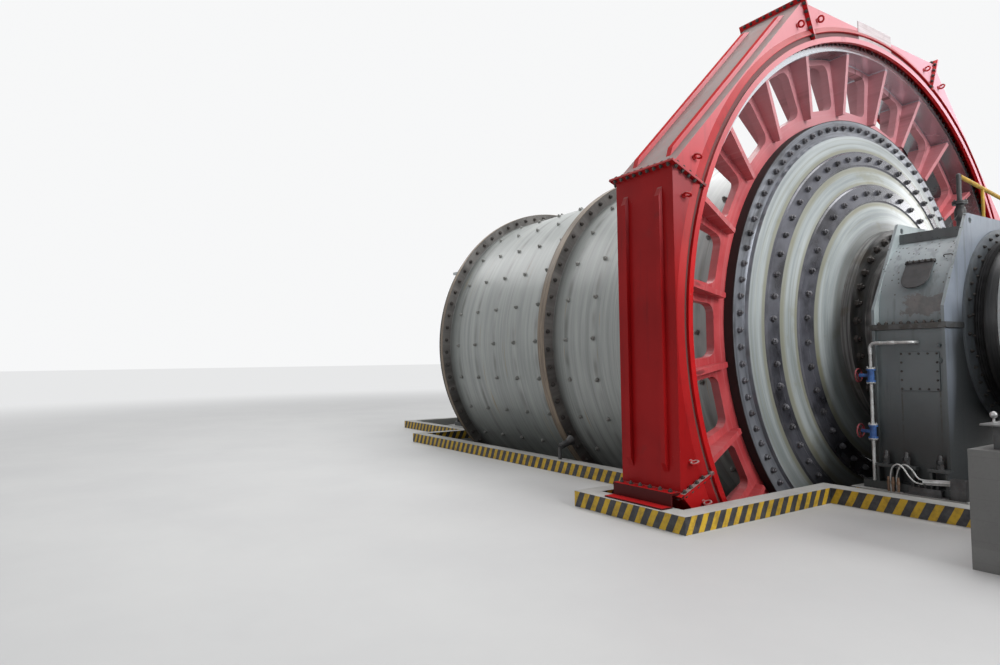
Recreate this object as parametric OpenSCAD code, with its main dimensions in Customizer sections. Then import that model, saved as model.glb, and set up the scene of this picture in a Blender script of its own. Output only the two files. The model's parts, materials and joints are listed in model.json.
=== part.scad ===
// Overflow ball mill on its foundation: drum with girth gear, two trunnion bearings,
// an octagonal gear guard, feed chute, discharge hood and enclosed pinion.
// The drum axis runs along X, discharge end at +X, and z = 0 is the underside of the foundation.

/* [Drum] */
// Outer radius of the shell plate
shell_r = 2560; // [2450:10:2620]
// Thickness of the shell plate
shell_t = 50; // [30:5:80]
// Length of the shell between the faces of its end flanges
shell_l = 6256; // [5800:10:6800]
// Height of the shell flanges above the shell plate
flange_w = 182; // [150:2:220]
// Thickness of each shell flange
flange_t = 75; // [50:5:100]
// Set-back of the head flange from the edge of the shell flange
head_flange_in = 42; // [20:2:80]
// Thickness of the head flange
head_flange_t = 115; // [80:5:130]
// Set-back of the edge of the head cone from the outside of the shell
cone_in = 70; // [50:5:120]
// Axial rise of the head cone beyond its flange
cone_rise = 327; // [250:1:400]
// Wall of the cast head
head_t = 110; // [80:5:150]
// Distances of the outer bolt band's inner and outer edge from the edge of the head cone
band_c_in = [384, 229];
// Distances of the inner bolt band's inner and outer edge from the edge of the head cone
band_d_in = [854, 660];
// Height of the bolt bands above the cone
band_h = 14; // [6:1:20]

/* [Trunnions] */
// Radius of the trunnion flange bolted to the head
trunnion_flange_r = 1240; // [1180:10:1300]
// Thickness of the trunnion flange
trunnion_flange_t = 110; // [80:5:130]
// Radius of the inboard collar beside the journal
collar_r = 1000; // [960:5:1040]
// Radius of the bearing journal
journal_r = 900; // [860:5:930]
// Height of the bearing journal above the neck outboard of it
neck_in = 10; // [5:1:40]
// Radius of the bore through the trunnions
bore_r = 620; // [560:5:680]
// Length of the journal between its collars
journal_l = 520; // [460:10:560]
// Length of the neck outboard of the bearing housing
neck_l = 480; // [350:10:600]

/* [Girth gear] */
// Distance from the shell to the pitch circle, to which the number of teeth is fitted
gear_out = 1040; // [1020:5:1060]
// Gear module, pitch diameter over teeth
gear_module = 30; // [28:0.5:30.5]
// Face width of the gear rim
gear_face = 600; // [500:10:620]
// Thickness of the rim below the tooth roots
rim_t = 62.5; // [50:0.5:90]
// Thickness of the gear web, clamped between shell flange and head flange
web_t = 100; // [70:5:130]
// Number of windows in the web
windows = 24; // [16:1:26]
// Distance from the shell flange to the inner end of the windows
window_in = 118; // [90:2:160]
// Distance from the outer end of the windows to the rim
window_out = 80; // [60:5:120]
// Angle that one window takes up, in degrees
window_angle = 11; // [8:0.5:12]
// Corner radius of the windows
window_corner = 110; // [70:5:130]
// Thickness of the radial ribs on the spokes
spoke_rib_t = 56; // [40:2:80]
// Height of the ribs above the web at their inner and outer end
spoke_rib_h = [90, 220];

/* [Gear guard] */
// Distance from the round opening to each flat side of the guard
guard_side_w = 197; // [180:1:230]
// Axial depth of the guard
guard_d = 770; // [740:5:800]
// Plate thickness of the guard
guard_t = 12; // [8:1:16]
// How far the faces of the guard reach in over the tips of the gear teeth
guard_lap = 53; // [30:1:70]
// Height of the bolted corner flanges
guard_flange_h = 55; // [40:1:60]
// Height of the stiffening bars on the outer panels
rib_h = 45; // [30:1:50]
// Width of the stiffening bars
rib_w = 60; // [40:1:80]
// Width of the sign plate
plate_w = 780; // [600:10:900]
// Height of the sign plate
plate_h = 250; // [150:5:255]
// Height that the sign plate stands above the edge of the guard
plate_up = 90; // [60:5:120]
// Thickness of the sign plate
plate_t = 10; // [4:1:12]
// Radial width of the lip ring round the opening
lip_w = 60; // [40:2:80]
// Depth of the lip ring in front of the guard face
lip_d = 30; // [20:1:40]

/* [Bearings] */
// Distance from the head face of a trunnion to the inboard plate of its housing
housing_gap = 450; // [400:5:500]
// Axial length of a bearing housing over its end plates
housing_l = 700; // [660:10:740]
// Half width of a bearing housing
housing_w = 1430; // [1380:10:1460]
// Height of the shoulder where the end plates start to lean in
shoulder_h = 190; // [150:10:230]
// How far each side of the end plates leans in towards the top
lean_w = 575; // [540:5:620]
// Height of the end plates above the drum axis
top_h = 1160; // [1130:10:1200]
// Thickness of the housing plates
housing_t = 30; // [20:2:40]
// Radius of the lifting holes in the top corners of the end plates
lug_hole_r = 32; // [20:1:40]
// Distance of the lifting holes from the top corners
lug_in = 72; // [65:1:80]
// Set-back of the lower housing from the edge of the end plates
base_set = 40; // [30:2:60]
// Set-back of the curved cover from the edge of the end plates
cover_set = 97; // [85:1:120]
// Radius of the rounded shoulders of the cover
cover_corner = 1000; // [960:5:1010]
// Height of the centres of the rounded shoulders above the drum axis
cover_z = 67; // [50:1:90]
// Height of the flat hatch on the cover above the drum axis
hatch_z = 1040; // [1030:2:1060]
// Height of the side of the hatch
hatch_t = 105; // [80:5:120]
// Thickness of each half of the split flange
split_t = 27; // [20:1:45]
// Height of the vent pipe and of the handrail's end beside it, above the hatch
rail_h = 640; // [400:10:900]
// Fall of the handrail away from the vent, in degrees
rail_fall = 6.4; // [0:0.2:8]
// Running clearance of the journal in its bearing
run_gap = 0.05; // [0.02:0.01:0.09]
// Clearance of the collars in the housing plates
seal_gap = 10; // [6:1:16]
// Outer radius of the bolted seal ring
seal_r = 1060; // [1020:5:1100]
// Thickness of the seal ring
seal_t = 50; // [30:5:60]

/* [Foundation] */
// Height of the lower ends of the upright guard sides above the kerb
corner_up = 110; // [80:2:160]
// Thickness of the raft
raft_t = 400; // [300:10:600]
// Clearance between the guard and the raft
pit_clear = 100; // [70:5:200]
// Thickness of the pit walls
wall_t = 200; // [180:5:230]
// Height of the kerb above the hall floor
kerb_h = 165; // [120:5:180]
// Distance from the shell to the outer face of the wall beside it
wall_shell_out = 333; // [300:3:380]
// Distance from the guard side to the outer face of the wall in front of it
seat_out = 282; // [270:2:300]
// Distance from the guard face to the outer face of the wall before the discharge bearing
seat_front = 297; // [290:1:320]
// Distance from the back of the guard to the outer face of the wall beside the shell
seat_back = 438; // [400:2:460]
// Distance from the bearing housing to the outer face of the wall beside it
wall_bearing_out = 396; // [370:2:430]
// Clearance between the end plate of the hood and the discharge end wall
hood_clear = 40; // [30:5:200]
// Clearance between the frame of the feed chute and the feed end wall
chute_clear = 110; // [60:5:250]
// Distance from the end of the shell to the step in the walls beside the feed bearing
wall_step = 888; // [860:4:920]
// Height of the bearing sole plate above the hall floor
sole_z = 170; // [160:5:200]
// Thickness of the bearing sole plate
sole_t = 80; // [60:5:100]

/* [Pinion drive] */
// Number of pinion teeth, for the centre distance
pinion_teeth = 22; // [20:1:24]
// Angle of the pinion below the drum axis
pinion_angle = 15; // [12:1:18]
// Radius of the pinion shaft
shaft_r = 180; // [150:5:200]
// Clearance of the shaft in the walls of its housing
shaft_gap = 10; // [5:1:15]
// Radius of the free end that takes the coupling
shaft_end_r = 160; // [130:5:175]
// Length of the free end that takes the coupling
shaft_end = 420; // [300:10:500]

/* [Feed and discharge] */
// Radius of the barrel of the discharge hood
hood_r = 1100; // [1050:10:1150]
// Length of the discharge hood
hood_l = 1900; // [1700:10:2000]
// Plate thickness of the hood and the feed chute
sheet_t = 15; // [10:1:20]
// Radius of the round opening in the hood end plate
hood_port_r = 460; // [400:10:500]
// Side of the square outlet of the hood
outlet_w = 900; // [700:10:1000]
// Depth below the drum axis at which the barrel of the hood turns into its hopper
hood_side_h = 200; // [120:10:300]
// Depth of the straight ends of the hood below its barrel
hood_drop = 40; // [20:5:80]
// Depth of the foot of the hopper below the drum axis
hopper_h = 1640; // [1500:10:1750]
// Clearance of the feed spout in the bore of the trunnion
spout_gap = 80; // [60:5:120]
// Extra width of the feed box over its spout
inlet_more = 20; // [10:5:60]
// Height of the top of the feed box above the drum axis
chute_rise = 1900; // [1600:20:2200]

/* [Side block] */
// Distance from the guard face to the block beside the discharge end
block_x = 2109; // [2000:10:2200]
// Length of the block along the mill
block_l = 1200; // [900:10:1500]
// Width of the block, out from the wall beside the bearing
block_w = 1280; // [1000:10:1500]
// Height of the block above the hall floor
block_h = 860; // [800:10:900]

/* [Hidden] */

$fn = 96;

// Radii that follow from the shell
flange_r = shell_r + flange_w;
head_flange_r = flange_r - head_flange_in;
cone_r = shell_r - cone_in;
band_c = [cone_r - band_c_in[0], cone_r - band_c_in[1]];
band_d = [cone_r - band_d_in[0], cone_r - band_d_in[1]];

// Gear; the number of teeth is a multiple of eight
corner_cut = 0.5;
gear_teeth = 8 * round(2 * (shell_r + gear_out) / gear_module / 8);
pitch_r = gear_teeth * gear_module / 2;
tip_r = pitch_r + gear_module;
root_r = pitch_r - 1.25 * gear_module;
rim_in_r = root_r - rim_t;
window_in_r = flange_r + window_in;
window_out_r = rim_in_r - window_out;
guard_open_r = tip_r - guard_lap;
guard_a = guard_open_r + guard_side_w;

oct_t = tan(22.5);
oct_c = cos(22.5);

// Heights in the row frame
axis_z = raft_t + pit_clear + guard_flange_h + guard_a;
kerb_z = axis_z - guard_a * oct_t - corner_up;
hall_z = kerb_z - kerb_h;

// Stations along the axis, from the mill centre towards the discharge end
half_l = shell_l / 2;
head_in_x = half_l + web_t;
head_out_x = head_in_x + head_flange_t;
cone_x = head_out_x + 39;
seat_x = head_in_x + head_flange_t + cone_rise;
slope = (seat_x - cone_x) / (cone_r - trunnion_flange_r);
housing_in_x = seat_x + housing_gap;
housing_out_x = housing_in_x + housing_l;
bearing_x = (housing_in_x + housing_out_x) / 2;
neck_r = journal_r - neck_in;
journal_in_x = bearing_x - journal_l / 2;
journal_out_x = bearing_x + journal_l / 2;
neck_x = housing_out_x + neck_l;

// Guard
gear_mid_x = half_l + web_t / 2;
guard_front_x = gear_mid_x + guard_d / 2 - 23;
guard_back_x = guard_front_x - guard_d;
lip_gap = 0.3;

// Feed and discharge
hood_plate_t = 20;
hood_x0 = housing_out_x + seal_t + 270;
hood_x1 = hood_x0 + hood_l;
hood_mid = (hood_x0 + hood_x1) / 2;
spout_r = bore_r - spout_gap;
chute_half = spout_r + inlet_more / 2 + sheet_t;
chute_x1 = -(neck_x - web_t) - 60;
chute_x0 = chute_x1 - 2 * chute_half;
chute_top = axis_z + chute_rise;
spout_l = neck_l - 20;

// Walls
wall_shell_y = shell_r + wall_shell_out;
wall_bearing_y = housing_w + wall_bearing_out;
wall_discharge_x = hood_x1 + hood_plate_t + hood_clear + wall_t;
wall_feed_x = chute_clear + wall_t - chute_x0;
wall_step_x = half_l + wall_step;
seat_y = guard_a + seat_out;
seat_x1 = guard_front_x + seat_front;
seat_x0 = guard_back_x - seat_back;

// Pinion
centre_d = (gear_teeth + pinion_teeth) * gear_module / 2;
pinion_y = centre_d * cos(pinion_angle);
pinion_z = axis_z - centre_d * sin(pinion_angle);

bearing_block = 420;
bearing_block_r = 380;
block_gap = 170;
block_edge = 60;
block_neck = 160;
pinion_in_x = guard_back_x - block_gap - bearing_block;
pinion_out_x = guard_front_x + block_gap;
plinth_edge = 60;
plinth_gap = 60;
plinth_half = 520;
plinth_drop = 560;
plinth_z = pinion_z - plinth_drop;
rib_xs = [guard_back_x + guard_d * 0.18, guard_back_x + guard_d * 0.78];

red = [0.72, 0.10, 0.10];
pale = [0.62, 0.66, 0.63];
steel = [0.55, 0.56, 0.57];
dark = [0.16, 0.16, 0.17];
grey_blue = [0.50, 0.57, 0.58];
concrete = [0.60, 0.60, 0.58];

// A solid of revolution about the drum axis; each point is [radius, station].
module about_axis(points) {
    translate([0, 0, axis_z]) rotate([0, 90, 0]) rotate_extrude() polygon(points);
}

// A cylinder on the drum axis between two stations.
module on_axis(r, x0, x1) {
    translate([x0, 0, axis_z]) rotate([0, 90, 0]) cylinder(r = r, h = x1 - x0);
}

// An outline in the plane across the axis, extruded between two stations.
module across(x0, x1) {
    translate([x0, 0, axis_z]) rotate([90, 0, 90]) linear_extrude(x1 - x0) children();
}

// A box given by its low and high corners.
module block(low, high) {
    translate(low) cube(high - low);
}

module foundation_raft() {
    color(concrete) linear_extrude(raft_t) pit_plan();
}

// Line of a long wall in plan, set in by w; jog is [x0, x1, y] of its stretch round the guard.
function wall_line(jog, w) = [
    [-wall_feed_x, wall_bearing_y - w], [-wall_step_x + w, wall_bearing_y - w],
    [-wall_step_x + w, wall_shell_y - w], [jog[0] + w, wall_shell_y - w], [jog[0] + w, jog[2] - w],
    [jog[1] - w, jog[2] - w], [jog[1] - w, wall_bearing_y - w], [wall_discharge_x, wall_bearing_y - w]
];

function flip(points) = [for (p = points) [p[0], -p[1]]];

function backwards(points) = [for (i = [len(points) - 1 : -1 : 0]) points[i]];

near_jog = [seat_x0, seat_x1, seat_y];
plinth_out = plinth_edge + plinth_gap + wall_t;
far_jog = [
    pinion_in_x - plinth_out, pinion_out_x + bearing_block + plinth_out,
    pinion_y + plinth_half + plinth_gap + wall_t
];

// Plan of the pit walls' outer faces.
module pit_plan() {
    polygon(concat(wall_line(far_jog, 0), backwards(flip(wall_line(near_jog, 0)))));
}

// One long pit wall with its jog round the guard.
module pit_wall(jog) {
    translate([0, 0, raft_t]) linear_extrude(kerb_z - raft_t)
        polygon(concat(wall_line(jog, 0), backwards(wall_line(jog, wall_t))));
}

module pit_wall_near() { color(concrete) mirror([0, 1, 0]) pit_wall(near_jog); }

module pit_wall_far() { color(concrete) pit_wall(far_jog); }

module end_wall(x0, x1, half) {
    block([x0, -half, raft_t], [x1, half, kerb_z]);
}

module pit_wall_feed_end() {
    color(concrete) end_wall(-wall_feed_x, -wall_feed_x + wall_t, wall_bearing_y - wall_t);
}

module pit_wall_discharge_end() {
    color(concrete) end_wall(wall_discharge_x - wall_t, wall_discharge_x, wall_bearing_y - wall_t);
}

pier_half = wall_bearing_y - wall_t - 46;
pier_x0 = housing_in_x - 200;
pier_x1 = housing_out_x + 200;

module pier() {
    block([pier_x0, -pier_half, raft_t], [pier_x1, pier_half, hall_z + sole_z]);
}

module discharge_pier() { color(concrete) pier(); }

module feed_pier() { color(concrete) mirror([1, 0, 0]) pier(); }

// Shell section from the mill centre to one end flange.
module shell_half() {
    inner = shell_r - shell_t;
    about_axis([
        [inner, 0], [flange_r, 0], [flange_r, flange_t], [shell_r, flange_t],
        [shell_r, half_l - flange_t], [flange_r, half_l - flange_t], [flange_r, half_l], [inner, half_l]
    ]);
}

module shell_discharge_section() { color(pale) shell_half(); }

module shell_feed_section() {
    color(pale) mirror([1, 0, 0]) shell_half();
}

function cone_at(r) = cone_x + (cone_r - r) * slope;

// Conical head with its flange and two raised bolt bands.
module head() {
    inner_x = cone_at(bore_r) - head_t;
    inner_r = shell_r - shell_t - 110;
    about_axis([
        [inner_r, head_in_x], [head_flange_r, head_in_x], [head_flange_r, head_out_x],
        [cone_r + 15, head_out_x], [cone_r, cone_x],
        [band_c[1] + band_h, cone_at(band_c[1] + band_h)], [band_c[1], cone_at(band_c[1]) + band_h],
        [band_c[0], cone_at(band_c[0]) + band_h], [band_c[0] - band_h, cone_at(band_c[0] - band_h)],
        [band_d[1] + band_h, cone_at(band_d[1] + band_h)], [band_d[1], cone_at(band_d[1]) + band_h],
        [band_d[0], cone_at(band_d[0]) + band_h], [band_d[0] - band_h, cone_at(band_d[0] - band_h)],
        [trunnion_flange_r + 5, seat_x], [bore_r, seat_x],
        [bore_r, seat_x - head_t], [inner_r, cone_at(inner_r) - head_t]
    ]);
}

module discharge_head() { color(pale) head(); }

// The feed head bolts straight to its shell flange.
module feed_head() { color(pale) mirror([1, 0, 0]) translate([-web_t, 0, 0]) head(); }

module trunnion() {
    about_axis([
        [bore_r, seat_x], [trunnion_flange_r, seat_x], [trunnion_flange_r, seat_x + trunnion_flange_t],
        [collar_r, seat_x + trunnion_flange_t + 40], [collar_r, journal_in_x], [journal_r, journal_in_x],
        [journal_r, journal_out_x], [neck_r, journal_out_x], [neck_r, neck_x], [bore_r, neck_x]
    ]);
}

module discharge_trunnion() { color(dark) trunnion(); }

module feed_trunnion() { color(dark) mirror([1, 0, 0]) translate([-web_t, 0, 0]) trunnion(); }

// Tooth outline: four points a tooth, straight flanks.
function gear_outline() = [
    for (i = [0 : gear_teeth - 1])
        for (p = [[root_r, -0.32], [tip_r, -0.16], [tip_r, 0.16], [root_r, 0.32]])
            let (a = 360 / gear_teeth * (i + p[1])) [p[0] * sin(a), p[0] * cos(a)]
];

// Window between two spokes: radial sides, flat ends and round corners.
module window() {
    r = window_corner;
    q = r - corner_cut;
    a = window_angle / 2;
    y0 = window_in_r + r;
    y1 = window_out_r - r;
    x0 = y0 * tan(a) - r / cos(a);
    x1 = y1 * tan(a) - r / cos(a);
    sx = q * cos(a);
    sy = q * sin(a);
    for (p = [[x0, y0], [x1, y1]])
        for (s = [-1, 1]) translate([s * p[0], p[1]]) circle(r = r);
    polygon([
        [-x0, y0 - q], [x0, y0 - q], [x0 + sx, y0 - sy], [x1 + sx, y1 - sy],
        [x1, y1 + q], [-x1, y1 + q], [-x1 - sx, y1 - sy], [-x0 - sx, y0 - sy]
    ]);
}

// Radial rib through the middle of a spoke, standing on both faces of the web.
module spoke_rib() {
    r0 = head_flange_r + 90;
    r1 = rim_in_r + 5;
    h0 = web_t / 2 + spoke_rib_h[0];
    h1 = web_t / 2 + spoke_rib_h[1];
    translate([0, spoke_rib_t / 2, 0]) rotate([90, 0, 0]) linear_extrude(spoke_rib_t)
        polygon([[-h0, r0], [h0, r0], [h1, r1], [-h1, r1]]);
}

module girth_gear() {
    color(red) {
        across(gear_mid_x - gear_face / 2, gear_mid_x + gear_face / 2) difference() {
            polygon(gear_outline());
            circle(r = rim_in_r);
        }
        across(half_l, head_in_x) difference() {
            circle(r = rim_in_r + 10);
            circle(r = shell_r);
            for (i = [0 : windows - 1]) rotate(360 / windows * i) window();
        }
        for (i = [0 : windows - 1])
            translate([gear_mid_x, 0, axis_z]) rotate([360 / windows * (i + 0.5), 0, 0])
                spoke_rib();
    }
}

top_w = housing_w - lean_w;
hatch = top_w - 15;
split_out = 20;

// Outline of the bearing end plates, from the split up.
module plate_outline() {
    polygon([
        [-housing_w, 0], [housing_w, 0], [housing_w, shoulder_h], [top_w, top_h], [-top_w, top_h],
        [-housing_w, shoulder_h]
    ]);
}

// Outline of the rounded cover, shrunk by a wall.
module cover_outline(wall) {
    w = housing_w - cover_set - wall;
    r = cover_corner - wall;
    x = w - r;
    intersection() {
        translate([-w, -w]) square([2 * w, w + hatch_z - wall]);
        union() {
            translate([-w, 0]) square([2 * w, cover_z]);
            translate([-x, 0]) square([2 * x, cover_z + r]);
            for (s = [-1, 1]) translate([s * x, cover_z]) circle(r = r);
        }
    }
}

module half_plane(up) {
    w = housing_w + 100;
    translate([-w, up ? 0 : -w * 2]) square([2 * w, w * 2]);
}

// Room for the seal ring in the edges of the split flange.
module seal_room() {
    on_axis(seal_r + 2, housing_out_x, housing_out_x + split_out + 1);
}

module bearing_cover() {
    difference() {
        union() {
            across(housing_in_x, housing_in_x + housing_t) plate_outline();
            across(housing_out_x - housing_t, housing_out_x) plate_outline();
            across(housing_in_x + housing_t, housing_out_x - housing_t) intersection() {
                cover_outline(0);
                half_plane(true);
            }
            across(housing_in_x + housing_t, housing_out_x - housing_t)
                translate([-hatch, hatch_z - hatch_t]) square([2 * hatch, hatch_t]);
            block(
                [housing_in_x - split_out, -housing_w - split_out, axis_z],
                [housing_out_x + split_out, housing_w + split_out, axis_z + split_t]
            );
        }
        across(housing_in_x + housing_t, housing_out_x - housing_t) intersection() {
            cover_outline(housing_t);
            translate([0, -1]) half_plane(true);
        }
        across(housing_in_x + housing_t, housing_out_x - housing_t)
            translate([-housing_w + cover_set + housing_t, -1])
                square([2 * (housing_w - cover_set - housing_t), split_t + 2]);
        on_axis(collar_r + seal_gap, housing_in_x - 50, bearing_x);
        on_axis(neck_r + seal_gap, bearing_x, housing_out_x + 50);
        seal_room();
        for (s = [-1, 1]) translate([housing_in_x - 1, s * (top_w - lug_in), axis_z + top_h - lug_in])
            rotate([0, 90, 0]) cylinder(r = lug_hole_r, h = housing_l + 2);
    }
}

base_z = hall_z + sole_z + sole_t;

module bearing_base() {
    w = housing_w - base_set;
    difference() {
        union() {
            block(
                [housing_in_x + housing_t, -w, base_z], [housing_out_x - housing_t, w, axis_z]
            );
            for (x = [housing_in_x, housing_out_x - housing_t])
                block([x, -housing_w, base_z], [x + housing_t, housing_w, axis_z]);
            block(
                [housing_in_x - split_out, -housing_w - split_out, axis_z - split_t],
                [housing_out_x + split_out, housing_w + split_out, axis_z]
            );
            block(
                [housing_in_x - 100, -housing_w - 80, hall_z + sole_z],
                [housing_out_x + 100, housing_w + 80, base_z]
            );
        }
        on_axis(collar_r + seal_gap, housing_in_x - 50, journal_in_x + 20);
        on_axis(journal_r + run_gap, journal_in_x, journal_out_x);
        on_axis(neck_r + seal_gap, journal_out_x - 1, housing_out_x + 50);
        seal_room();
    }
}

module seal_ring() {
    about_axis([
        [neck_r + seal_gap, housing_out_x], [seal_r, housing_out_x], [seal_r, housing_out_x + seal_t / 2],
        [seal_r - 120, housing_out_x + seal_t], [neck_r + seal_gap, housing_out_x + seal_t]
    ]);
}

module to_feed_end() {
    mirror([1, 0, 0]) translate([-web_t, 0, 0]) children();
}

module discharge_bearing_cover() { color(grey_blue) bearing_cover(); }

module discharge_bearing_base() { color(grey_blue) bearing_base(); }

module discharge_seal_ring() { color(dark) seal_ring(); }

module feed_bearing_cover() { color(grey_blue) to_feed_end() bearing_cover(); }

module feed_bearing_base() { color(grey_blue) to_feed_end() bearing_base(); }

module feed_seal_ring() { color(dark) to_feed_end() seal_ring(); }

// Flange frame along one mitre of the guard; side is 1 or -1 within the sector.
module mitre_flange(side) {
    corner = guard_a / oct_c;
    f = guard_flange_h;
    rotate([-22.5 * side, 0, 0])
        translate([0, side > 0 ? -guard_t : 0, 0])
            difference() {
                block(
                    [guard_back_x - f, 0, guard_open_r + lip_w + 1], [guard_front_x + f, guard_t, corner + f]
                );
                block(
                    [guard_back_x + guard_t, -1, guard_open_r - 100],
                    [guard_front_x - guard_t, guard_t + 1, corner - 2 * guard_t]
                );
            }
}

module sector_outline(r_in) {
    w = guard_a * oct_t;
    difference() {
        polygon([
            [-w, guard_a], [w, guard_a], [r_in * oct_t * 0.8, r_in * 0.8], [-r_in * oct_t * 0.8, r_in * 0.8]
        ]);
        circle(r = guard_open_r);
    }
}

// One of the eight sides of the guard, turned to its place; ribs are two bars on the panel.
module guard_sector(angle) {
    w = guard_a * oct_t;
    rib_l = w - 190;
    translate([0, 0, axis_z]) rotate([angle, 0, 0]) {
        for (x = [guard_back_x, guard_front_x - guard_t])
            translate([x, 0, 0]) rotate([90, 0, 90]) linear_extrude(guard_t) sector_outline(guard_open_r);
        translate([guard_back_x, 0, 0]) rotate([90, 0, 90]) linear_extrude(guard_d)
            polygon([
                [-w, guard_a], [w, guard_a], [w - guard_t * oct_t, guard_a - guard_t],
                [-w + guard_t * oct_t, guard_a - guard_t]
            ]);
        for (s = [-1, 1]) mitre_flange(s);
        for (x = rib_xs)
            translate([x - rib_w / 2, 0, 0]) rotate([90, 0, 90]) linear_extrude(rib_w)
                polygon([
                    [-rib_l, guard_a], [rib_l, guard_a], [rib_l - 90, guard_a + rib_h],
                    [-rib_l + 90, guard_a + rib_h]
                ]);
    }
}

// Foot of a side sector: a shelf, a web and a sole on the kerb.
module guard_foot(side) {
    f = 130;
    z = axis_z - guard_a * oct_t + 6;
    y = guard_a;
    for (q = [
        [[guard_back_x, y - guard_t, z], [guard_front_x, y + f, z + 20]],
        [[guard_back_x, y + f - 16, kerb_z], [guard_front_x, y + f, z + 20]],
        [[guard_back_x, y + f - 16, kerb_z], [guard_front_x, seat_y - 30, kerb_z + 16]]
    ]) {
        low = [q[0][0], min(side * q[0][1], side * q[1][1]), q[0][2]];
        high = [q[1][0], max(side * q[0][1], side * q[1][1]), q[1][2]];
        block(low, high);
    }
}

// Room that the foot needs beside the guard.
module foot_room(side) {
    z = axis_z - guard_a * oct_t + 32;
    reach = seat_y - guard_a;
    s = side > 0 ? 0 : -reach;
    translate([guard_back_x - 1, s + side * (guard_a - 1), kerb_z - 1])
        cube([guard_d + 2, reach, z - kerb_z + 1]);
}

module guard_top() { color(red) guard_sector(0); }

module guard_upper_near() { color(red) guard_sector(45); }

module guard_near() {
    color(red) {
        guard_sector(90);
        guard_foot(-1);
    }
}

module guard_lower_near() { color(red) guard_sector(135); }

module guard_bottom() { color(red) guard_sector(180); }

module guard_lower_far() { color(red) guard_sector(225); }

// The pinion shaft passes through the far side.
module guard_far() {
    color(red) difference() {
        union() {
            guard_sector(270);
            guard_foot(1);
        }
        pinion_axis(shaft_r + shaft_gap, guard_back_x - 200, guard_front_x + 200);
    }
}

module guard_upper_far() { color(red) guard_sector(315); }

module lip(x0, x1) {
    about_axis([
        [guard_open_r, x0], [guard_open_r + lip_w, x0], [guard_open_r + lip_w, x1], [guard_open_r, x1]
    ]);
}

module guard_lips() {
    color(red) {
        lip(guard_front_x + lip_gap, guard_front_x + lip_d);
        lip(guard_back_x - lip_d, guard_back_x - lip_gap);
    }
}

// Bare plate on the front edge of the top side, cut round the lip ring.
module guard_sign_plate() {
    color("gainsboro") difference() {
        block(
            [guard_front_x, -plate_w / 2, axis_z + guard_a + plate_up - plate_h],
            [guard_front_x + plate_t, plate_w / 2, axis_z + guard_a + plate_up]
        );
        on_axis(guard_open_r + lip_w + 2, guard_front_x - 1, guard_front_x + plate_t + 1);
    }
}

// A cylinder on the pinion's own axis between two stations.
module pinion_axis(r, x0, x1) {
    translate([x0, pinion_y, pinion_z]) rotate([0, 90, 0]) cylinder(r = r, h = x1 - x0);
}

// Closed box over the pinion, bolted between the bars on the far side of the guard.
module pinion_housing() {
    r = pinion_teeth * gear_module / 2 + gear_module + 90;
    x0 = guard_back_x + 20;
    x1 = guard_front_x - 20;
    seat = rib_w / 2 + 8;
    foot = axis_z - guard_a * oct_t + guard_flange_h + 60;
    color(red) difference() {
        union() {
            block([x0, guard_a + rib_h, pinion_z - r], [x1, pinion_y + r, pinion_z + r]);
            block(
                [rib_xs[0] + seat, guard_a, foot],
                [rib_xs[1] - seat, guard_a + rib_h + 5, pinion_z + r - 60]
            );
        }
        pinion_axis(shaft_r + shaft_gap, x0 - 1, x1 + 1);
        foot_room(1);
    }
}

module pinion_bearings() {
    for (x = [pinion_in_x, pinion_out_x])
        color(grey_blue) difference() {
            union() {
                pinion_axis(bearing_block_r, x, x + bearing_block);
                block(
                    [x, pinion_y - plinth_half + block_edge, plinth_z],
                    [x + bearing_block, pinion_y + plinth_half - block_edge, pinion_z - block_neck]
                );
            }
            pinion_axis(shaft_r, x - 1, x + bearing_block + 1);
        }
}

module pinion_shaft() {
    x = pinion_out_x + bearing_block + 40;
    color(steel) {
        pinion_axis(shaft_r, pinion_in_x - 40, x);
        pinion_axis(shaft_end_r, x - 10, x + shaft_end);
    }
}

// Concrete block on the raft under the pinion bearings and the far foot of the guard.
module pinion_plinth() {
    f = plinth_edge;
    y = pinion_y + plinth_half;
    color(concrete) {
        for (x = [pinion_in_x, pinion_out_x])
            block([x - f, pinion_y - plinth_half, raft_t], [x + bearing_block + f, y, plinth_z]);
        block(
            [pinion_in_x, guard_a + guard_flange_h + plinth_gap / 2, raft_t],
            [pinion_out_x + bearing_block, y, kerb_z]
        );
    }
}

// Body of the hood seen along the axis, shrunk by a wall: barrel above, hopper below.
module hood_body(wall) {
    x0 = hood_x0 + wall;
    x1 = hood_x1 - wall;
    r = hood_r - wall;
    h = hood_side_h;
    w = sqrt(r * r - h * h);
    b = outlet_w / 2 - wall;
    z0 = raft_t - axis_z - wall;
    intersection() {
        on_axis(r, x0, x1);
        block([x0 - 1, -r - 1, axis_z - h], [x1 + 1, r + 1, axis_z + r + 1]);
    }
    across(x0, x1) polygon([
        [20 - w, 20 - h], [w - 20, 20 - h], [w, -h], [b, -hopper_h], [b, z0],
        [-b, z0], [-b, -hopper_h], [-w, -h]
    ]);
}

// The same along the axis: full length down to below the barrel, narrowing to the outlet.
module hood_side(wall) {
    b = outlet_w / 2 - wall;
    x0 = hood_x0 + wall;
    x1 = hood_x1 - wall;
    z0 = raft_t - wall;
    top = axis_z + hood_r + 1;
    side = axis_z - hood_r - hood_drop;
    neck = axis_z - hopper_h;
    polygon([
        [x0, top], [x1, top], [x1, side], [hood_mid + b, neck], [hood_mid + b, z0],
        [hood_mid - b, z0], [hood_mid - b, neck], [x0, side]
    ]);
}

module hood_form(wall) {
    intersection() {
        hood_body(wall);
        translate([0, hood_r + 10, 0]) rotate([90, 0, 0]) linear_extrude(2 * hood_r + 20) hood_side(wall);
    }
}

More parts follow.
